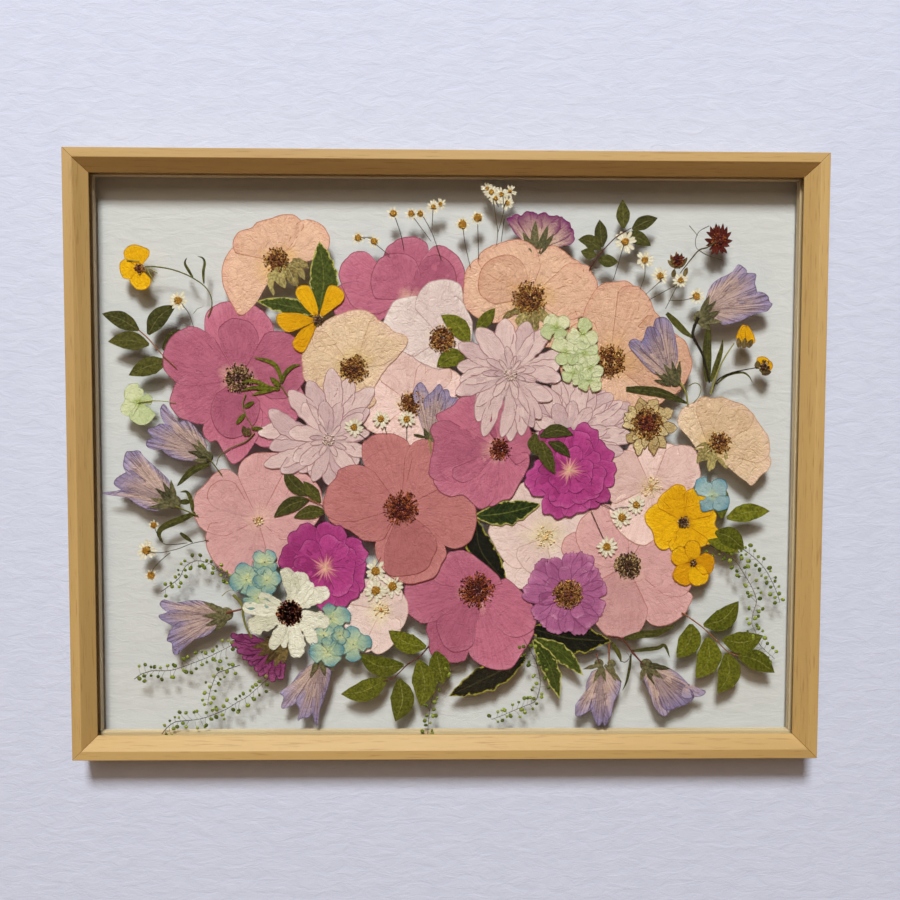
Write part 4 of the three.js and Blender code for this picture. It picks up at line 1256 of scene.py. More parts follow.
sepal = leaf_finish("sepal_green", (0.045, 0.045, 0.02), (0.17, 0.155, 0.075), (0.2, 0.18, 0.1), ribs=4.0)
leaves("bell_sepals", 5, [
    ([(-13, 12), (-17, 22)], 4), ([(-12, 12), (-11, 25)], 4), ([(-11, 12), (-5, 22)], 4),
    ([(160, 54), (146, 62)], 4.5), ([(161, 55), (152, 68)], 4.5), ([(162, 55), (164, 70)], 4.5),
    ([(158, 53), (145, 56)], 3.5), ([(162, 55), (158, 70)], 4), ([(178, 98), (192, 105)], 5),
    ([(179, 103), (184, 116)], 4.5), ([(179, 98), (194, 97)], 4.5), ([(178, 101), (189, 112)], 4),
    ([(177, 96), (186, 91)], 3.5), ([(-168, 0), (-177, 14)], 4), ([(-169, 1), (-183, 5)], 4),
    ([(-169, -1), (-180, -2)], 4), ([(-168, 1), (-181, 11)], 3.5), ([(-193, -30), (-195, -15)], 4.5),
    ([(-194, -31), (-206, -21)], 4.5), ([(-194, -33), (-211, -35)], 4.5), ([(-193, -31), (-201, -16)], 4),
    ([(-194, -33), (-210, -28)], 4), ([(-157, -110), (-173, -102)], 4.5), ([(-156, -112), (-174, -112)], 4.5),
    ([(-157, -114), (-166, -124)], 4.5), ([(-157, -113), (-172, -119)], 4), ([(-92, -144), (-98, -157)], 4),
    ([(-90, -144), (-87, -156)], 4), ([(-88, -145), (-80, -152)], 3.5), ([(109, -148), (97, -151)], 3.5),
    ([(111, -148), (105, -161)], 4), ([(113, -148), (126, -161)], 3.5), ([(110, -148), (114, -160)], 4),
    ([(117, -148), (121, -160)], 4), ([(144, -148), (161, -151)], 4.5), ([(143, -148), (149, -163)], 4.5),
    ([(142, -149), (139, -160)], 4), ([(143, -148), (156, -159)], 4),
], sepal, "petal_green", widest=0.3, tip=1.2, foot=0.6, ripple=0.2, relief=0.3)
calyxes = Pressing()
for order, (x, z, radius) in enumerate((
    (-12, 12, 3), (161, 55, 4), (178, 100, 5), (-169, 1, 4), (-193, -31, 5), (-157, -111, 5), (-90, -144, 4),
    (109, -147, 3.4), (118, -147, 3), (143, -148, 4.5),
)):
    bead(
        calyxes, x, z, radius, layer_rise(3.4), 0.16, 9, 16, tone=(order * 0.37) % 1, inset=3.0, across=0.5
    )
calyxes.piece("bell_calyxes", sepal, "petal_green")
calyx_green = leaf_finish("calyx_olive", (0.12, 0.08, 0.02), (0.48, 0.41, 0.16), (0.6, 0.52, 0.28), ribs=4.0)
leaves("rose_calyxes", 3, [
    ([(-113, 136), (-109, 127), (-105, 120)], 9), ([(-116, 136), (-117, 126), (-114, 119)], 9),
    ([(-111, 136), (-104, 131), (-100, 125)], 7), ([(-120, 134), (-124, 124), (-122, 113.5)], 5),
    ([(-109, 138), (-102, 136), (-97, 133)], 6), ([(57, 106), (52, 98), (50, 90)], 8),
    ([(59, 106), (60, 97), (61, 88)], 9), ([(62, 107), (68, 100), (72, 92)], 7),
    ([(54, 107), (45, 103), (38, 99)], 5), ([(189, 8), (182, 3), (177, -3)], 8),
    ([(190, 7), (188, -1), (186, -9)], 8), ([(192, 7), (196, 0), (199, -7)], 8),
    ([(188, 9), (180, 9), (175, 7)], 6),
], calyx_green, "petal_green", widest=0.4, tip=1.0, foot=0.5, ripple=0.3, relief=0.4)

# ---------------------------------------------------------------------------
# Hydrangea: loose florets of four rounded petals, pale green and teal, laid in
# clusters with their tiny eyes left on.


def florets(name, layer, groups, material, slot):
    """Florets given as (eye, petals), each petal as the middle and size of its round blade."""
    pressing = Pressing()
    for number, (eye, petals) in enumerate(groups):
        rise = layer_rise(layer) + (number % 4) * SHEET_RISE * 2
        for order, (x, z, radius) in enumerate(petals):
            away = np.array([x - eye[0], z - eye[1]], float)
            tip = np.array(eye) + away * (1 + radius / np.hypot(*away))
            blade(
                pressing, [eye, tip], radius * 2.1, rise + (order % 2) * SHEET_RISE, number * 9 + order,
                widest=0.58, tip=0.72, foot=0.12, blunt=0.06, step=0.9, ripple=0.28, cup=0.2, relief=0.25,
            )
        bead(pressing, *eye, 0.7, rise + 0.2 * MM, 0.6, 5, 8, tone=0.2, inset=3.0)
    pressing.piece(name + "_florets", material, slot, name)


def even_floret(x, z, size, turn):
    """A floret of four like petals."""
    middles = [spot((x, z), turn + k * math.pi / 2, size * 0.55) for k in range(4)]
    return (x, z), [(*place, size * 0.5) for place in middles]


pale_green = petal_finish(
    "pale_green_petal", (0.42, 0.5, 0.16), (0.72, 0.76, 0.54), (0.84, 0.86, 0.72), (0.2, 0.26, 0.09),
    vein_share=0.35, crease=0.12, through=0.2, edge_shadow_share=0.5, deep_tone_and_shade=(0.74, 0.84, 0.64), crinkle=0.5,
)
florets("hydrangea_green_left", 2, [
    ((-217, 39), [(-220.5, 46, 6.5), (-224, 35, 6), (-215, 31, 8), (-211, 41, 4)]),
], pale_green, "petal_green")
florets("hydrangea_green_middle", 8, [
    ((88, 60.5), [(86, 65, 4.8), (91.5, 57, 4.6), (84.5, 58, 4.2), (91.5, 64, 4)]),
    ((75.7, 92.7), [(72.5, 97, 5), (80.6, 96, 5.2), (78.5, 88.5, 4.6), (69.5, 90, 5)]),
    ((96, 74.5), [(101, 77.5, 5), (92.5, 79, 4.6), (92.5, 70.5, 4.6), (101, 71.5, 4.8)]),
    ((82.4, 75.4), [(78.6, 80.8, 5.4), (87.2, 79, 4.8), (87.4, 71.5, 5), (80, 70.4, 4.4)]),
    ((100.5, 55.5), [(95.8, 53, 4.6), (104.4, 51.8, 4.2), (96.4, 59, 4.6), (104.5, 58.5, 3.8)]),
    ((100.2, 64.8), [(102, 70.4, 5), (94.4, 66.5, 5), (105, 62, 4.6), (97, 60.2, 4.8)]),
    ((94.4, 88), [(95.7, 94, 5.6), (88.3, 86.5, 5.4), (100.3, 85.3, 5.4), (94.6, 81.8, 5)]),
], pale_green, "petal_green")
teal = petal_finish(
    "teal_petal", (0.76, 0.76, 0.38), (0.48, 0.61, 0.45), (0.14, 0.34, 0.44), (0.03, 0.13, 0.18),
    vein_share=0.35, crease=0.12, through=0.2, edge_shadow_share=0.7, spread=0.4, edge=0.5, deep_tone_and_shade=(0.72, 0.84, 0.9),
)
florets("hydrangea_teal_left", 7, [
    even_floret(-142.5, -86, 12, 0.3), even_floret(-129.5, -73.5, 9.5, 0.8), even_floret(-134, -99, 11, 0.6),
    even_floret(-128, -86.5, 10, 0.2),
], teal, "petal_teal")
florets("hydrangea_teal_bottom", 7, [
    ((-83, -114), [(-75, -112, 6.5), (-88, -118, 5.5), (-82, -121, 5.5), (-84, -107, 4.5)]),
    even_floret(-88, -126, 8, 0.6), even_floret(-76, -126, 7, 0.2),
    ((-85, -137.5), [(-92, -138, 6.5), (-83, -143, 6), (-78, -136, 5), (-84, -131, 5)]),
    ((-67, -132.5), [(-60, -131, 6.5), (-68, -125, 6), (-74, -134, 5.5), (-67, -140, 5.5)]),
], teal, "petal_teal")
pale_blue = petal_finish(
    "pale_blue_petal", (0.6, 0.66, 0.38), (0.38, 0.53, 0.57), (0.16, 0.36, 0.48), (0.04, 0.14, 0.2),
    vein_share=0.35, crease=0.12, edge_shadow_share=0.8, edge=0.6, deep_tone_and_shade=(0.7, 0.8, 0.88),
)
florets("hydrangea_blue_right", 6, [
    ((188, -26), [(181, -19, 6), (193, -20, 6.5), (195, -31, 6), (184, -33, 5)]),
], pale_blue, "petal_teal")

# ---------------------------------------------------------------------------
# Flowers pressed from the side or past their best: a fringed pink, a small red
# aster, a purple aster and a rose head that has dropped its petals.
pink_fringe = petal_finish(
    "dianthus_petal", (0.62, 0.56, 0.2), (0.64, 0.47, 0.4), (0.17, 0.02, 0.15), (0.16, 0.015, 0.11),
    vein_share=0.75, crease=0.2, veins=13.0, edge_shadow_share=0.9, spread=0.5, edge=0.55, crinkle=0.8, branching=0.8,
)
flower("dianthus_top", 0, (62, 146), [
    [(47, 157), (41, 168), (46, 171), (50, 171), (56, 167)],
    [(78, 150), (84, 150), (87, 151), (89.5, 154.5), (88, 157), (87.5, 162), (81, 164)],
    [(72, 168), (78, 169), (84, 166.5), (87, 162), (84, 155)],
    [(47, 168), (54, 173), (58, 173.5), (62, 172), (67, 167)],
    [(61, 170), (67, 173), (72, 171), (78, 169), (80, 162)],
], pink_fringe, "petal_violet", 1.1, ruffle=0.9, relief=0.25)
leaves("dianthus_sepals", 1, [
    ([(60, 144), (61, 167)], 6), ([(63, 144), (70, 164)], 5), ([(60, 145), (52, 159)], 4.5),
    ([(64, 144), (74, 158)], 4),
], sepal, "petal_green", widest=0.35, tip=0.9, foot=0.5)
maroon = petal_finish(
    "red_aster_petal", (0.06, 0.01, 0.005), (0.13, 0.02, 0.012), (0.2, 0.045, 0.025), (0.03, 0.004, 0.003),
    vein_share=0.4,
)
rayed_flower("red_aster", 2, (190, 152), [
    (180, 155, 3.4), (200, 154, 3.4), (181, 160, 3.2), (199, 160, 3.4), (184, 164, 3.2), (196, 164, 3.2),
    (188, 166, 3.2), (193, 166, 3), (182, 151, 3), (198, 150, 3), (186, 163, 3), (190, 165, 3), (195, 161, 3),
    (184, 158, 3), (197, 157, 3),
], maroon, "petal_red", [(9, 14, 2.6)], widest=0.5, tip=0.9, foot=0.5)
tuft("red_aster", (190, 154), 5.5, 2.8, rusty, 50, 0.6)
aster_purple = petal_finish(
    "aster_petal", (0.12, 0.03, 0.02), (0.26, 0.05, 0.17), (0.38, 0.1, 0.28), (0.05, 0.006, 0.03),
    vein_share=0.5, edge_shadow_share=0.85, crinkle=0.8, edge=0.7,
)
rayed_flower("purple_aster", 3, (-122, -135), [
    (-154, -126, 6), (-117, -153, 6), (-150, -138, 6), (-124, -160, 6), (-141, -148, 6), (-134, -156, 6),
    (-154, -132, 6), (-119, -158.5, 6), (-146, -143, 6), (-129, -158, 6), (-137, -152, 6), (-148, -126, 5),
    (-151, -130, 5), (-143, -144, 5), (-131, -155, 5), (-121, -156, 5), (-139, -147, 5),
], aster_purple, "petal_violet", widest=0.75, tip=0.5, foot=0.3, blunt=0.4, ripple=0.3, relief=0.3)
scale = leaf_finish("scale_brown", (0.045, 0.022, 0.01), (0.17, 0.12, 0.045), (0.24, 0.18, 0.07), ribs=3.0)
leaves("purple_aster_scales", 4.5, [
    ([(-117, -130), (-139, -135)], 6), ([(-117, -131), (-135, -141)], 6), ([(-117, -132), (-130, -147)], 6),
    ([(-116, -132), (-123, -149)], 6), ([(-115, -132), (-117, -147)], 5.5), ([(-117, -131), (-130, -128)], 6),
    ([(-117, -131), (-126, -138)], 6), ([(-116, -131), (-121, -141)], 6),
], scale, "leaf_olive", widest=0.4, tip=0.9, foot=0.6)
straw = petal_finish(
    "bare_head_sepal", (0.34, 0.18, 0.06), (0.74, 0.61, 0.35), (0.82, 0.74, 0.5), (0.12, 0.05, 0.015),
    vein_share=0.55, crease=0.3, edge_shadow_share=0.85, crinkle=0.8, deep_tone_and_shade=(0.7, 0.62, 0.5),
)
rayed_flower("bare_head", 5, (141, 25), [
    (124, 29, 9), (135, 2, 8), (163, 22, 9), (148, 43, 10), (146, 2, 8), (127, 12, 9), (160, 35, 9),
    (136, 44, 9), (155, 8, 8), (154, 36, 9), (128, 38, 8),
], straw, "petal_cream", [(17, 10, 7)], widest=0.6, tip=0.9, foot=0.45, ripple=0.4, relief=0.3)
tuft("bare_head", (141, 25), 11, 5.5, golden, 120, 0.85, (0.85, 1.05))
tuft("bare_head_core", (141, 25), 6, 5.9, rusty, 70, 0.9, (0.5, 0.9))

# ---------------------------------------------------------------------------
# Leaf sprays: compound rose leaves on their stalks, olive green, flat and
# slightly mottled, four sprays round the edge and two small ones on the flowers.
olive = leaf_finish("leaf_olive", (0.03, 0.032, 0.008), (0.085, 0.085, 0.016), (0.16, 0.15, 0.05))
bright = leaf_finish("leaf_bright", (0.06, 0.07, 0.006), (0.155, 0.165, 0.012), (0.22, 0.22, 0.05))
leaves("leaf_spray_left_blades", 0, [
    ([(-216.5, 89.5), (-229, 97), (-242, 101)], 11.5), ([(-210, 86.5), (-202, 99), (-190.5, 107)], 12.5),
    ([(-209.5, 79.5), (-224, 82.5), (-238, 81.5)], 13), ([(-197, 68), (-211, 64), (-224, 58)], 13),
    ([(-200, 76), (-190, 84), (-178, 86)], 12),
], olive, replaced="leaf_spray_left")
leaves("leaf_spray_top_right_blades", 1, [
    ([(123, 162), (122, 182)], 9.5), ([(129, 161.5), (138, 166.5), (147, 169.5)], 9.5),
    ([(123, 157), (133, 155.5), (142.5, 150)], 10), ([(108, 149), (106, 168)], 9.5),
    ([(107, 147), (99, 153), (91, 154)], 9.5), ([(104, 143), (93, 146)], 8),
    ([(105.5, 140), (119.5, 138.5)], 9),
], olive, replaced="leaf_spray_top_right")
leaves("leaf_spray_bottom_blades", 3, [
    ([(-8, -138), (-3, -162)], 15), ([(-15, -135), (-29, -132), (-42, -123)], 14.5),
    ([(-31, -148), (-48, -149), (-63, -140)], 14.5), ([(-43, -158), (-60, -167), (-76, -169)], 15.5),
    ([(-34, -158), (-32, -174), (-37, -189)], 17), ([(-20, -144.5), (-16, -162), (-19, -178)], 17.5),
], bright, replaced="leaf_spray_bottom")
leaves("leaf_spray_bottom_right_blades", 3, [
    ([(184, -119.5), (198, -115), (209, -102)], 15.5), ([(198, -130), (213, -132), (227, -127)], 16),
    ([(209, -141), (223, -145), (236, -154)], 14.5), ([(201, -139.5), (203, -155), (195, -169)], 16.5),
    ([(187, -128), (188, -144), (179, -158)], 18), ([(175, -118.5), (174, -131), (165, -143)], 16.5),
], bright, replaced="leaf_spray_bottom_right")
leaves("leaf_spray_on_pink", 4, [
    ([(-99, -26), (-109, -18), (-115.5, -8)], 10.5), ([(-90, -31), (-102, -16)], 8.5),
    ([(-98, -29), (-111, -33), (-123, -41.5)], 10.5), ([(-86, -38), (-97, -38), (-109, -42)], 9.5),
], olive)
leaves("leaf_spray_on_magenta", 7, [
    ([(62, 18), (61, 10), (63, 2)], 9), ([(65, 16), (77, 20), (89, 17)], 9.5),
    ([(66, 13), (70, 1), (76, -11)], 10), ([(71, 12), (80, 8), (87, 1)], 7.5),
], olive)
leaves("leaves_single", 4.6, [
    ([(15, 82), (7, 93), (-5, 101)], 13), ([(12, 72), (2, 71), (-8, 65)], 13), ([(20, 90), (33, 106)], 9),
    ([(196, -42), (193, -14)], 12), ([(191, -52), (202, -56), (212, -65)], 14),
    ([(199, -42), (214, -38), (230, -37)], 13), ([(186, -58), (199, -62), (209, -67)], 9),
], bright)

# ---------------------------------------------------------------------------
# Variegated leaves: dark green blades with a ragged cream margin, tucked under
# the flowers so that their ends show between them.
variegated = leaf_finish(
    "leaf_variegated", (0.01, 0.02, 0.005), (0.075, 0.1, 0.014), (0.13, 0.15, 0.03), (0.42, 0.41, 0.11)
)
leaves("leaves_variegated_upper", 4.2, [
    ([(-90, 103.5), (-87, 126), (-90, 152)], 19), ([(-92, 102), (-114, 107), (-134, 110)], 12),
    ([(20, -41), (42, -38.5), (66, -32)], 17),
], variegated, ripple=0.12)
bronze = leaf_finish(
    "leaf_bronze", (0.002, 0.002, 0.001), (0.006, 0.006, 0.003), (0.035, 0.035, 0.01), (0.26, 0.24, 0.03),
    through=0.02,
)
leaves("leaves_variegated_lower", 0.3, [
    ([(60, -122), (88, -129), (118, -131)], 22), ([(56, -143), (28, -158), (1, -171)], 20),
    ([(20, -44), (24, -66), (43, -90)], 20),
], bronze, ripple=0.15)
leaves("leaves_variegated_small", 0.9, [
    ([(63, -129), (82, -140), (98, -156)], 12), ([(62, -130), (74, -150), (81, -173)], 13),
], variegated, ripple=0.15)

# ---------------------------------------------------------------------------
# Narrow leaves: the strap leaves that came with the bells, and two wiry sprigs
# that lie over the left-hand rose.
leaves("leaves_strap", 3.6, [
    ([(126, 49.5), (140, 48.5), (152, 46.5), (171, 39)], 6.5),
    ([(154, 103), (160, 97), (167, 90), (174, 85)], 5), ([(184, 55), (183, 75), (184, 98)], 6.5),
    ([(186, 55), (190, 67), (193, 77), (194, 85)], 4), ([(-168, -4), (-180, -9), (-191, -20)], 5),
    ([(-180, -38), (-181, -30), (-184, -24), (-189, -24)], 3), ([(-182, -31), (-190, -31)], 4),
    ([(-178, -39), (-190, -44), (-201, -49), (-204, -54), (-201, -60)], 5), ([(-189, -53), (-180, -60)], 3),
    ([(-178, 126), (-181, 131), (-183.5, 136), (-182, 140)], 2),
    ([(-170.5, 122), (-170.8, 130), (-169.8, 136), (-171, 139.5), (-175, 141)], 2),
    ([(127, -129), (140, -126), (150, -125), (164, -119)], 5.5),
    ([(132, -138), (150, -136), (156, -134), (160, -143)], 3), ([(118, -132), (123, -140), (125, -146)], 3.4),
    ([(132, -140), (131, -150), (129, -160), (126, -167)], 2),
    ([(190, 53), (198, 59.5), (208, 61.5), (213, 59), (216, 54)], 1.8), ([(-24, 17), (-15, 15)], 1.8),
], olive, widest=0.4, tip=0.8, foot=0.5)
leaves("sprig_leaves", 4.5, [
    ([(-117, 53), (-114, 60), (-109, 64.5), (-103, 66)], 2.8),
    ([(-117, 53), (-119, 62), (-124, 67.5), (-136, 71)], 3), ([(-118, 51), (-125, 57)], 4),
    ([(-118, 49), (-126, 50), (-133, 53.5), (-139, 54.5), (-146, 53)], 3),
    ([(-119, 48.5), (-130, 49.5), (-138, 49.5), (-146, 47)], 2.8),
    ([(-122, 48.5), (-131, 46.5), (-138, 44.5)], 2.4), ([(-143, 36), (-136, 40)], 3.2),
    ([(-143, 31), (-149, 24)], 3.2), ([(-138, 21), (-130, 21)], 2.8),
], bright, widest=0.4, tip=0.8, foot=0.5)

# ---------------------------------------------------------------------------
# Stalks and tendrils: the cut stems of the bells, buds, sprays and sprigs, each
# pressed with its flower or leaves and dried green, brown or dark red.


def stalks(name, layer, lines, material):
    """A group of stems, each given as (points, width)."""
    pressing = Pressing()
    for order, (points, width) in enumerate(lines):
        rise = layer_rise(layer) + width * 0.3 * MM
        thread(pressing, points, width, rise, order + len(name), inset=3.0, across=0.5)
    pressing.piece(name, material, "leaf_olive")


stem_green = speckled_finish("stem_green", (0.07, 0.07, 0.012), (0.15, 0.15, 0.03), (0.26, 0.25, 0.07))
stem_dark = speckled_finish("stem_dark", (0.01, 0.007, 0.005), (0.035, 0.025, 0.014), (0.08, 0.06, 0.03))
stem_red = speckled_finish("stem_red", (0.05, 0.012, 0.01), (0.13, 0.035, 0.025), (0.24, 0.1, 0.05))
stalks("stalks_green", 4, [
    ([(-211, 133.3), (-205, 133.5), (-196, 132.3), (-189, 130.5), (-182, 127.8), (-176, 124.5), (-171, 121),
      (-167.5, 117), (-165.3, 112), (-165, 107), (-166.5, 102), (-168, 99)], 1.2),
    ([(-224, 138), (-215, 137)], 0.9), ([(-210, 132), (-205, 123)], 1), ([(-208, 132), (-202.5, 129)], 1),
    ([(-178, 101), (-175, 104.5), (-171, 106)], 0.5), ([(-217, 39), (-205, 40.2), (-191, 39)], 0.9),
    ([(-117, 51), (-112, 43)], 1.1), ([(-142, 45), (-144, 38), (-142.5, 31), (-139, 25), (-137, 21)], 0.9),
    ([(-136, 18), (-142, 12), (-150, 8.5), (-155, 6), (-161, 1), (-163, -5)], 1),
    ([(186, 46), (190, 60), (195, 71), (202, 82)], 1.5),
    ([(169, 51), (175, 54), (179, 51), (178, 45), (174, 40)], 0.8), ([(164, 54), (168, 48), (170, 38)], 1.8),
    ([(-192, -34), (-184, -37.5), (-176, -41)], 1.5), ([(-169, 1), (-159, -12)], 1.2),
    ([(-152, -97), (-146, -104), (-145, -112), (-143, -120), (-139, -128)], 2.2),
    ([(-160, -98), (-155, -94), (-150, -94)], 0.7), ([(-13, 14), (-12, 4)], 1.5),
], stem_green)
stalks("stalks_dark", 4.4, [
    ([(176, 100), (173, 92), (173, 86), (180, 73), (185, 54)], 2.4),
    ([(187, 50), (192, 57), (200, 61), (208, 63), (219, 65)], 1.2),
    ([(188, 153), (182, 149), (176, 147), (170, 140), (163, 131)], 1.3), ([(169, 164), (175, 157)], 0.6),
    ([(183, 164), (176, 160), (173.5, 154), (174, 149), (176, 147)], 0.6),
    ([(176, 147), (182, 143.5), (193, 140)], 0.7),
    ([(124, -145), (128, -146), (131, -142), (128.5, -139)], 0.7),
], stem_dark)
stalks("stalks_red", 4.2, [
    ([(-216, 89.5), (-209, 83), (-200, 72.5), (-190, 63)], 1),
    ([(99, 133), (104, 141), (110, 148), (118, 156), (128, 162)], 1),
    ([(-13, -134), (-20, -142), (-28, -147), (-34, -153), (-40, -158), (-46, -159)], 1.2),
    ([(168, -110), (182, -120), (192, -129), (201, -138), (210, -142)], 1.2), ([(-100, -28), (-87, -34)], 1),
    ([(56, 20), (63, 17), (72, 10)], 0.9), ([(-157, -110), (-144, -107)], 1.8),
    ([(116, -132), (116, -145)], 1.8), ([(132, -138), (141, -148)], 1.8),
    ([(115, -127), (125, -129), (133, -139)], 1.4), ([(107, -140), (109, -147)], 1.2),
], stem_red)

# ---------------------------------------------------------------------------
# Buds: two yellow ones on the right, an aster bud and its small scaly heads,
# and the bud at the end of the left-hand sprig.
buds = Pressing()
for base, rim in (
    ((209, 79), [(203, 86), (205, 91), (208, 95), (211, 95.3)]),
    ((211, 79), [(209, 95), (212, 94.5), (215, 90), (218, 83)]),
    ((210, 79), [(206, 89), (208, 94), (212, 93), (214, 88)]),
    ((222, 64), [(218, 68), (219, 72), (224, 73), (228, 70)]),
    ((223, 64), [(224, 71), (228, 70), (230, 66), (228, 62)]),
):
    petal(buds, base, rim, layer_rise(4), rim[0][1], 1.0)
buds.piece("buds_yellow", yellow, "petal_yellow")
leaves("bud_scales", 5, [
    ([(206, 79), (205, 86)], 4), ([(209, 78.5), (210, 86)], 4), ([(212, 79), (215, 85)], 4),
    ([(219, 64), (219, 70)], 4.5), ([(221, 62), (226, 67)], 5), ([(222, 61), (229, 62)], 4.5),
    ([(160, 134), (156, 144)], 3.4), ([(161, 134), (160, 146)], 3.4), ([(162, 134), (164, 145)], 3.4),
    ([(163, 135), (168, 142)], 3.2), ([(159, 135), (154, 140)], 3.2), ([(158, 128), (159, 134)], 3.4),
    ([(166, 129), (168, 135)], 3.4), ([(-142, 16), (-144, 23)], 4.5), ([(-141, 16), (-140, 22)], 4),
], scale, "leaf_olive", widest=0.4, tip=0.8, foot=0.5)
tuft("bud_aster", (161, 140), 5, 5.3, rusty, 30, 0.6)
tuft("bud_yellow", (224, 66), 4, 5.2, seedy, 24, 0.7)

# ---------------------------------------------------------------------------
# Chamomile: small heads with a domed golden disc and short white rays, each on
# a hair-thin stalk, scattered round the edge and over the roses.
STALK_WIDTH = 0.6
RAY_STRETCH = 1.16

chamomile_stalks = Pressing()
for order, points in enumerate((
    [(-186, 108), (-181, 101), (-178, 92)], [(-60, 154.5), (-53, 154.5)], [(-51, 150), (-41, 142)],
    [(-37, 168), (-33, 156), (-31, 146)], [(-24, 168), (-12, 152)],
    [(-17.5, 169), (-12, 159), (-8.5, 150), (-5, 140)], [(-10.8, 174), (-11.5, 160)],
    [(10.2, 161), (12, 149), (15.5, 134)], [(20.5, 164), (21.2, 140)],
    [(31, 182), (33.5, 166), (34.5, 159), (33.8, 150)], [(38, 184), (38.5, 173), (34.5, 158)],
    [(39, 168), (37, 152)], [(123, 150), (116, 126)], [(138, 138), (138, 129), (135, 120)],
    [(150, 126), (139, 116)], [(161, 123), (150, 117), (141, 112)], [(161, 122), (153, 106)],
    [(173, 114), (165, 112), (155, 112)], [(148, 128), (150, 125)], [(-66, 20), (-57, 13)],
    [(-29, 26), (-29, 13)], [(-45, 24), (-43, 17)],
    [(-169, -58), (-181, -60.5), (-190, -64), (-203, -67), (-212, -66)],
    [(-196, -67), (-201, -71), (-207, -77), (-210, -82)],
    [(-184, -60), (-195, -61.3), (-202, -59.5), (-207, -49)], [(105, -30), (116, -35), (122, -40)],
    [(119, -35.2), (133, -33.5)], [(102, -37), (113, -61)], [(-52, -78), (-47, -70)],
    [(38.5, 176), (41, 181)], [(33, 180), (35, 176)],
)):
    thread(chamomile_stalks, points, STALK_WIDTH, layer_rise(5.4), order, 5, (1, 0.8))
chamomile_stalks.piece("chamomile_stalks", stem_dark, "leaf_olive")
discs = Pressing()
rays = Pressing()
dice = np.random.default_rng(41)
for x, z, radius, reach, layer in (
    (-188.5, 110.3, 3.3, 6, 3), (-63, 154.2, 3, 4.2, 3), (-52, 152, 3, 4.2, 3), (-38.5, 171.3, 3, 4.2, 3),
    (-26, 171.2, 2.8, 4, 3), (-19.5, 171, 2.5, 3.6, 3), (-10.5, 176, 2.2, 4.4, 3), (-5.5, 178, 1.8, 3.8, 3),
    (9.8, 164, 3.8, 4.6, 3), (20.3, 168.7, 3.6, 4.4, 3), (30, 186.5, 2.3, 5, 3), (37, 185, 2, 4.6, 3),
    (41, 179, 2, 4.6, 3), (33, 182, 2, 4.4, 3), (27, 189, 1.6, 4, 3), (43, 187, 1.6, 4, 3),
    (124, 152.5, 3.4, 7, 4), (138, 140, 3, 5.6, 4), (149, 129, 3, 5.4, 4), (163.5, 126, 2.6, 5, 4),
    (175, 115, 3.3, 5, 4), (-66, 22, 3, 6, 6.5), (-47, 28, 3, 5.6, 6.5), (-29, 28, 3, 5.6, 6.5),
    (-207.5, -47.5, 2.8, 3.4, 2), (-213, -65.5, 3.8, 6.5, 2), (-210, -83.2, 3.3, 4, 2),
    (134, -32.5, 3.2, 6, 6), (124, -41.5, 3.6, 6.4, 6), (113.5, -62.5, 3.6, 6.5, 6), (-51, -80, 4, 7, 5.4),
    (-51, -94, 4, 7.4, 5.4), (-39, -91, 4, 7, 5.4),
):
    rise = layer_rise(layer)
    reach *= RAY_STRETCH
    bead(discs, x, z, radius * 0.8, rise + 0.3 * MM, 0.12, 6, 12, tone=0.3)
    for _ in range(int(radius * 9)):
        far = radius * 0.86 * math.sqrt(dice.uniform())
        turn = dice.uniform(0, 6.3)
        bead(
            discs, *spot((x, z), turn, far), dice.uniform(0.35, 0.55), rise + 0.42 * MM, 0.7, 4, 5,
            tone=dice.uniform(0.1, 1),
        )
    count = 12 if reach > 5 else 9
    for number in range(count):
        turn = 2 * math.pi * (number + dice.uniform(-0.3, 0.3)) / count
        tip = spot((x, z), turn, reach * dice.uniform(0.82, 1.08))
        blade(
            rays, [(x, z), tip], reach * 0.33, rise + (number % 3) * SHEET_RISE, number,
            widest=0.7, tip=0.5, foot=0.3, blunt=0.2, step=0.9,
        )
disc_gold = speckled_finish("chamomile_disc", (0.1, 0.035, 0.005), (0.38, 0.19, 0.025), (0.68, 0.45, 0.09))
discs.piece("chamomile_discs", disc_gold, "stamen_brown")
ray_white = petal_finish(
    "chamomile_ray", (0.7, 0.64, 0.4), (0.86, 0.84, 0.74), (0.9, 0.88, 0.8), (0.4, 0.34, 0.22),
    vein_share=0.15, edge_shadow_share=0.3, deep_tone_and_shade=(0.88, 0.86, 0.8),
)
rays.piece("chamomile_rays", ray_white, "petal_white")

# ---------------------------------------------------------------------------
# Seed sprays: wiry stems of peppercress with a round green pod at the end of
# every side twig.
TWIG_GAP = 1.9
TWIG_WIDTH = 0.24

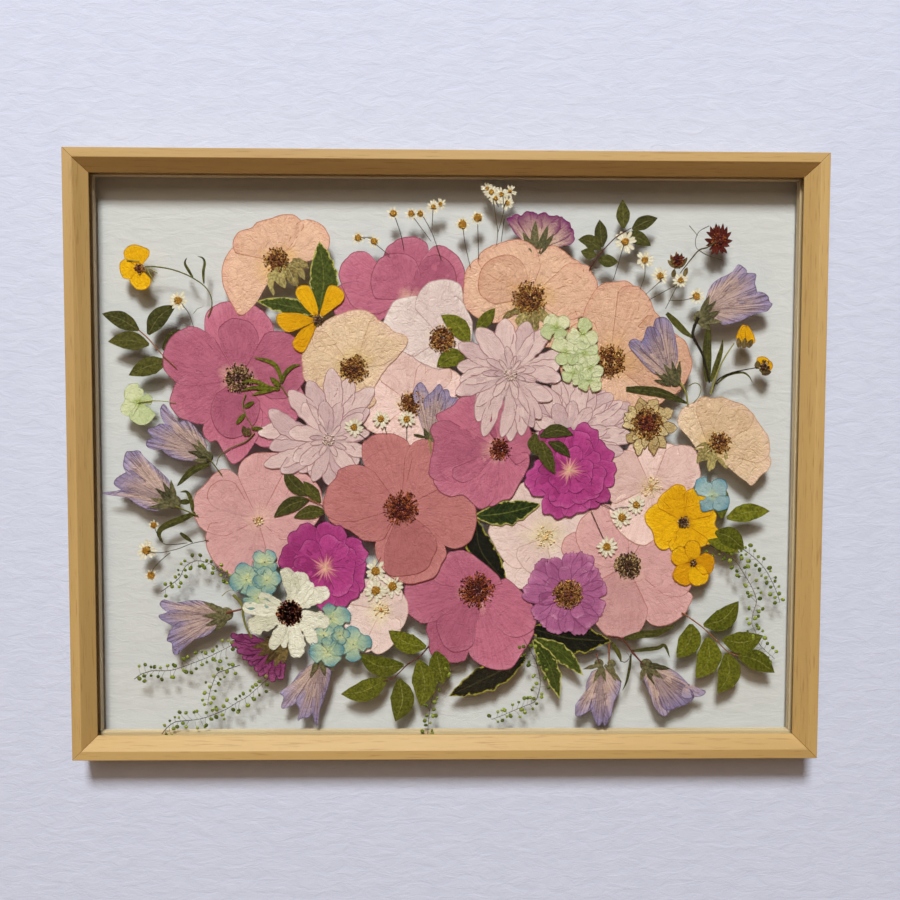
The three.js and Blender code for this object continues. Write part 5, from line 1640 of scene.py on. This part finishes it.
pods = speckled_finish("seed_pods", (0.05, 0.075, 0.008), (0.13, 0.17, 0.02), (0.22, 0.27, 0.04))
SPRAYS = (
    (2, 4.5, [
        (-203, -95), (-196, -90), (-190, -85), (-187, -79), (-184, -75.5), (-178, -73), (-172, -73.8),
        (-167, -76), (-161, -81), (-153, -87),
    ]),
    (0.5, 6, [
        (-223, -158), (-219, -155), (-214, -153), (-210, -152), (-200, -152), (-194, -151), (-188, -149),
        (-180, -146), (-170, -142), (-160, -137), (-150, -132),
    ]),
    (0.5, 4.5, [
        (-148, -148), (-158, -151.5), (-164, -154), (-167, -160), (-169, -166), (-170.5, -172),
        (-171, -177),
    ]),
    (0.5, 6, [
        (-204, -198), (-200, -193), (-195, -189.5), (-190, -188.5), (-180, -187.5), (-173, -186),
        (-165, -183), (-158, -180), (-150, -175), (-143, -171), (-136, -165), (-128, -158),
    ]),
    (0.5, 5.5, [
        (185, -60), (195, -66), (202, -70), (207, -74), (213, -83), (219, -93), (222, -102), (220, -110),
        (219, -118), (222, -125), (224, -132), (228, -137), (236, -144),
    ]),
    (0.5, 5, [
        (208, -62), (219, -70), (227, -78), (233, -88), (237, -97), (239, -103),
    ]),
    (0.5, 5, [
        (2, -149), (-4, -157), (-7, -163), (-10, -170), (-12, -178), (-13, -186), (-14, -199),
    ]),
    (0.5, 6, [
        (55, -130), (62, -142), (65, -150), (67, -160), (66, -168), (63, -175), (55, -178.5),
        (48, -181.5), (40, -185), (32, -188),
    ]),
)
spray_stems = Pressing()
spray_pods = Pressing()
dice = np.random.default_rng(17)
for order, (layer, reach, points) in enumerate(SPRAYS):
    rise = layer_rise(layer + 0.4)
    thread(spray_stems, points, STALK_WIDTH, rise, order, 5)
    count = int(length_of(points) / TWIG_GAP)
    line = soft_line(points, count)
    way = directions(line)
    for number in range(2, count):
        side = 1 if number % 2 else -1
        along = way[number]
        aside = np.array([-along[1], along[0]])
        far = reach * dice.uniform(0.25, 1.1)
        tip = line[number] + side * far * aside + along * far * dice.uniform(-0.9, 0.3)
        bow = (line[number] + tip) / 2 - along * 0.12 * far
        thread(spray_stems, [line[number], bow, tip], TWIG_WIDTH, rise, number, 4, (1, 0.8))
        bead(
            spray_pods, *tip, dice.uniform(0.9, 1.6), rise, 0.6, 5, 8,
            stretch=dice.uniform(1, 1.3), turn=dice.uniform(0, 3), tone=dice.uniform(0, 1),
        )
spray_stems.piece("seed_spray_stems", stem_dark, "leaf_olive")
spray_pods.piece("seed_spray_pods", pods, "leaf_olive")
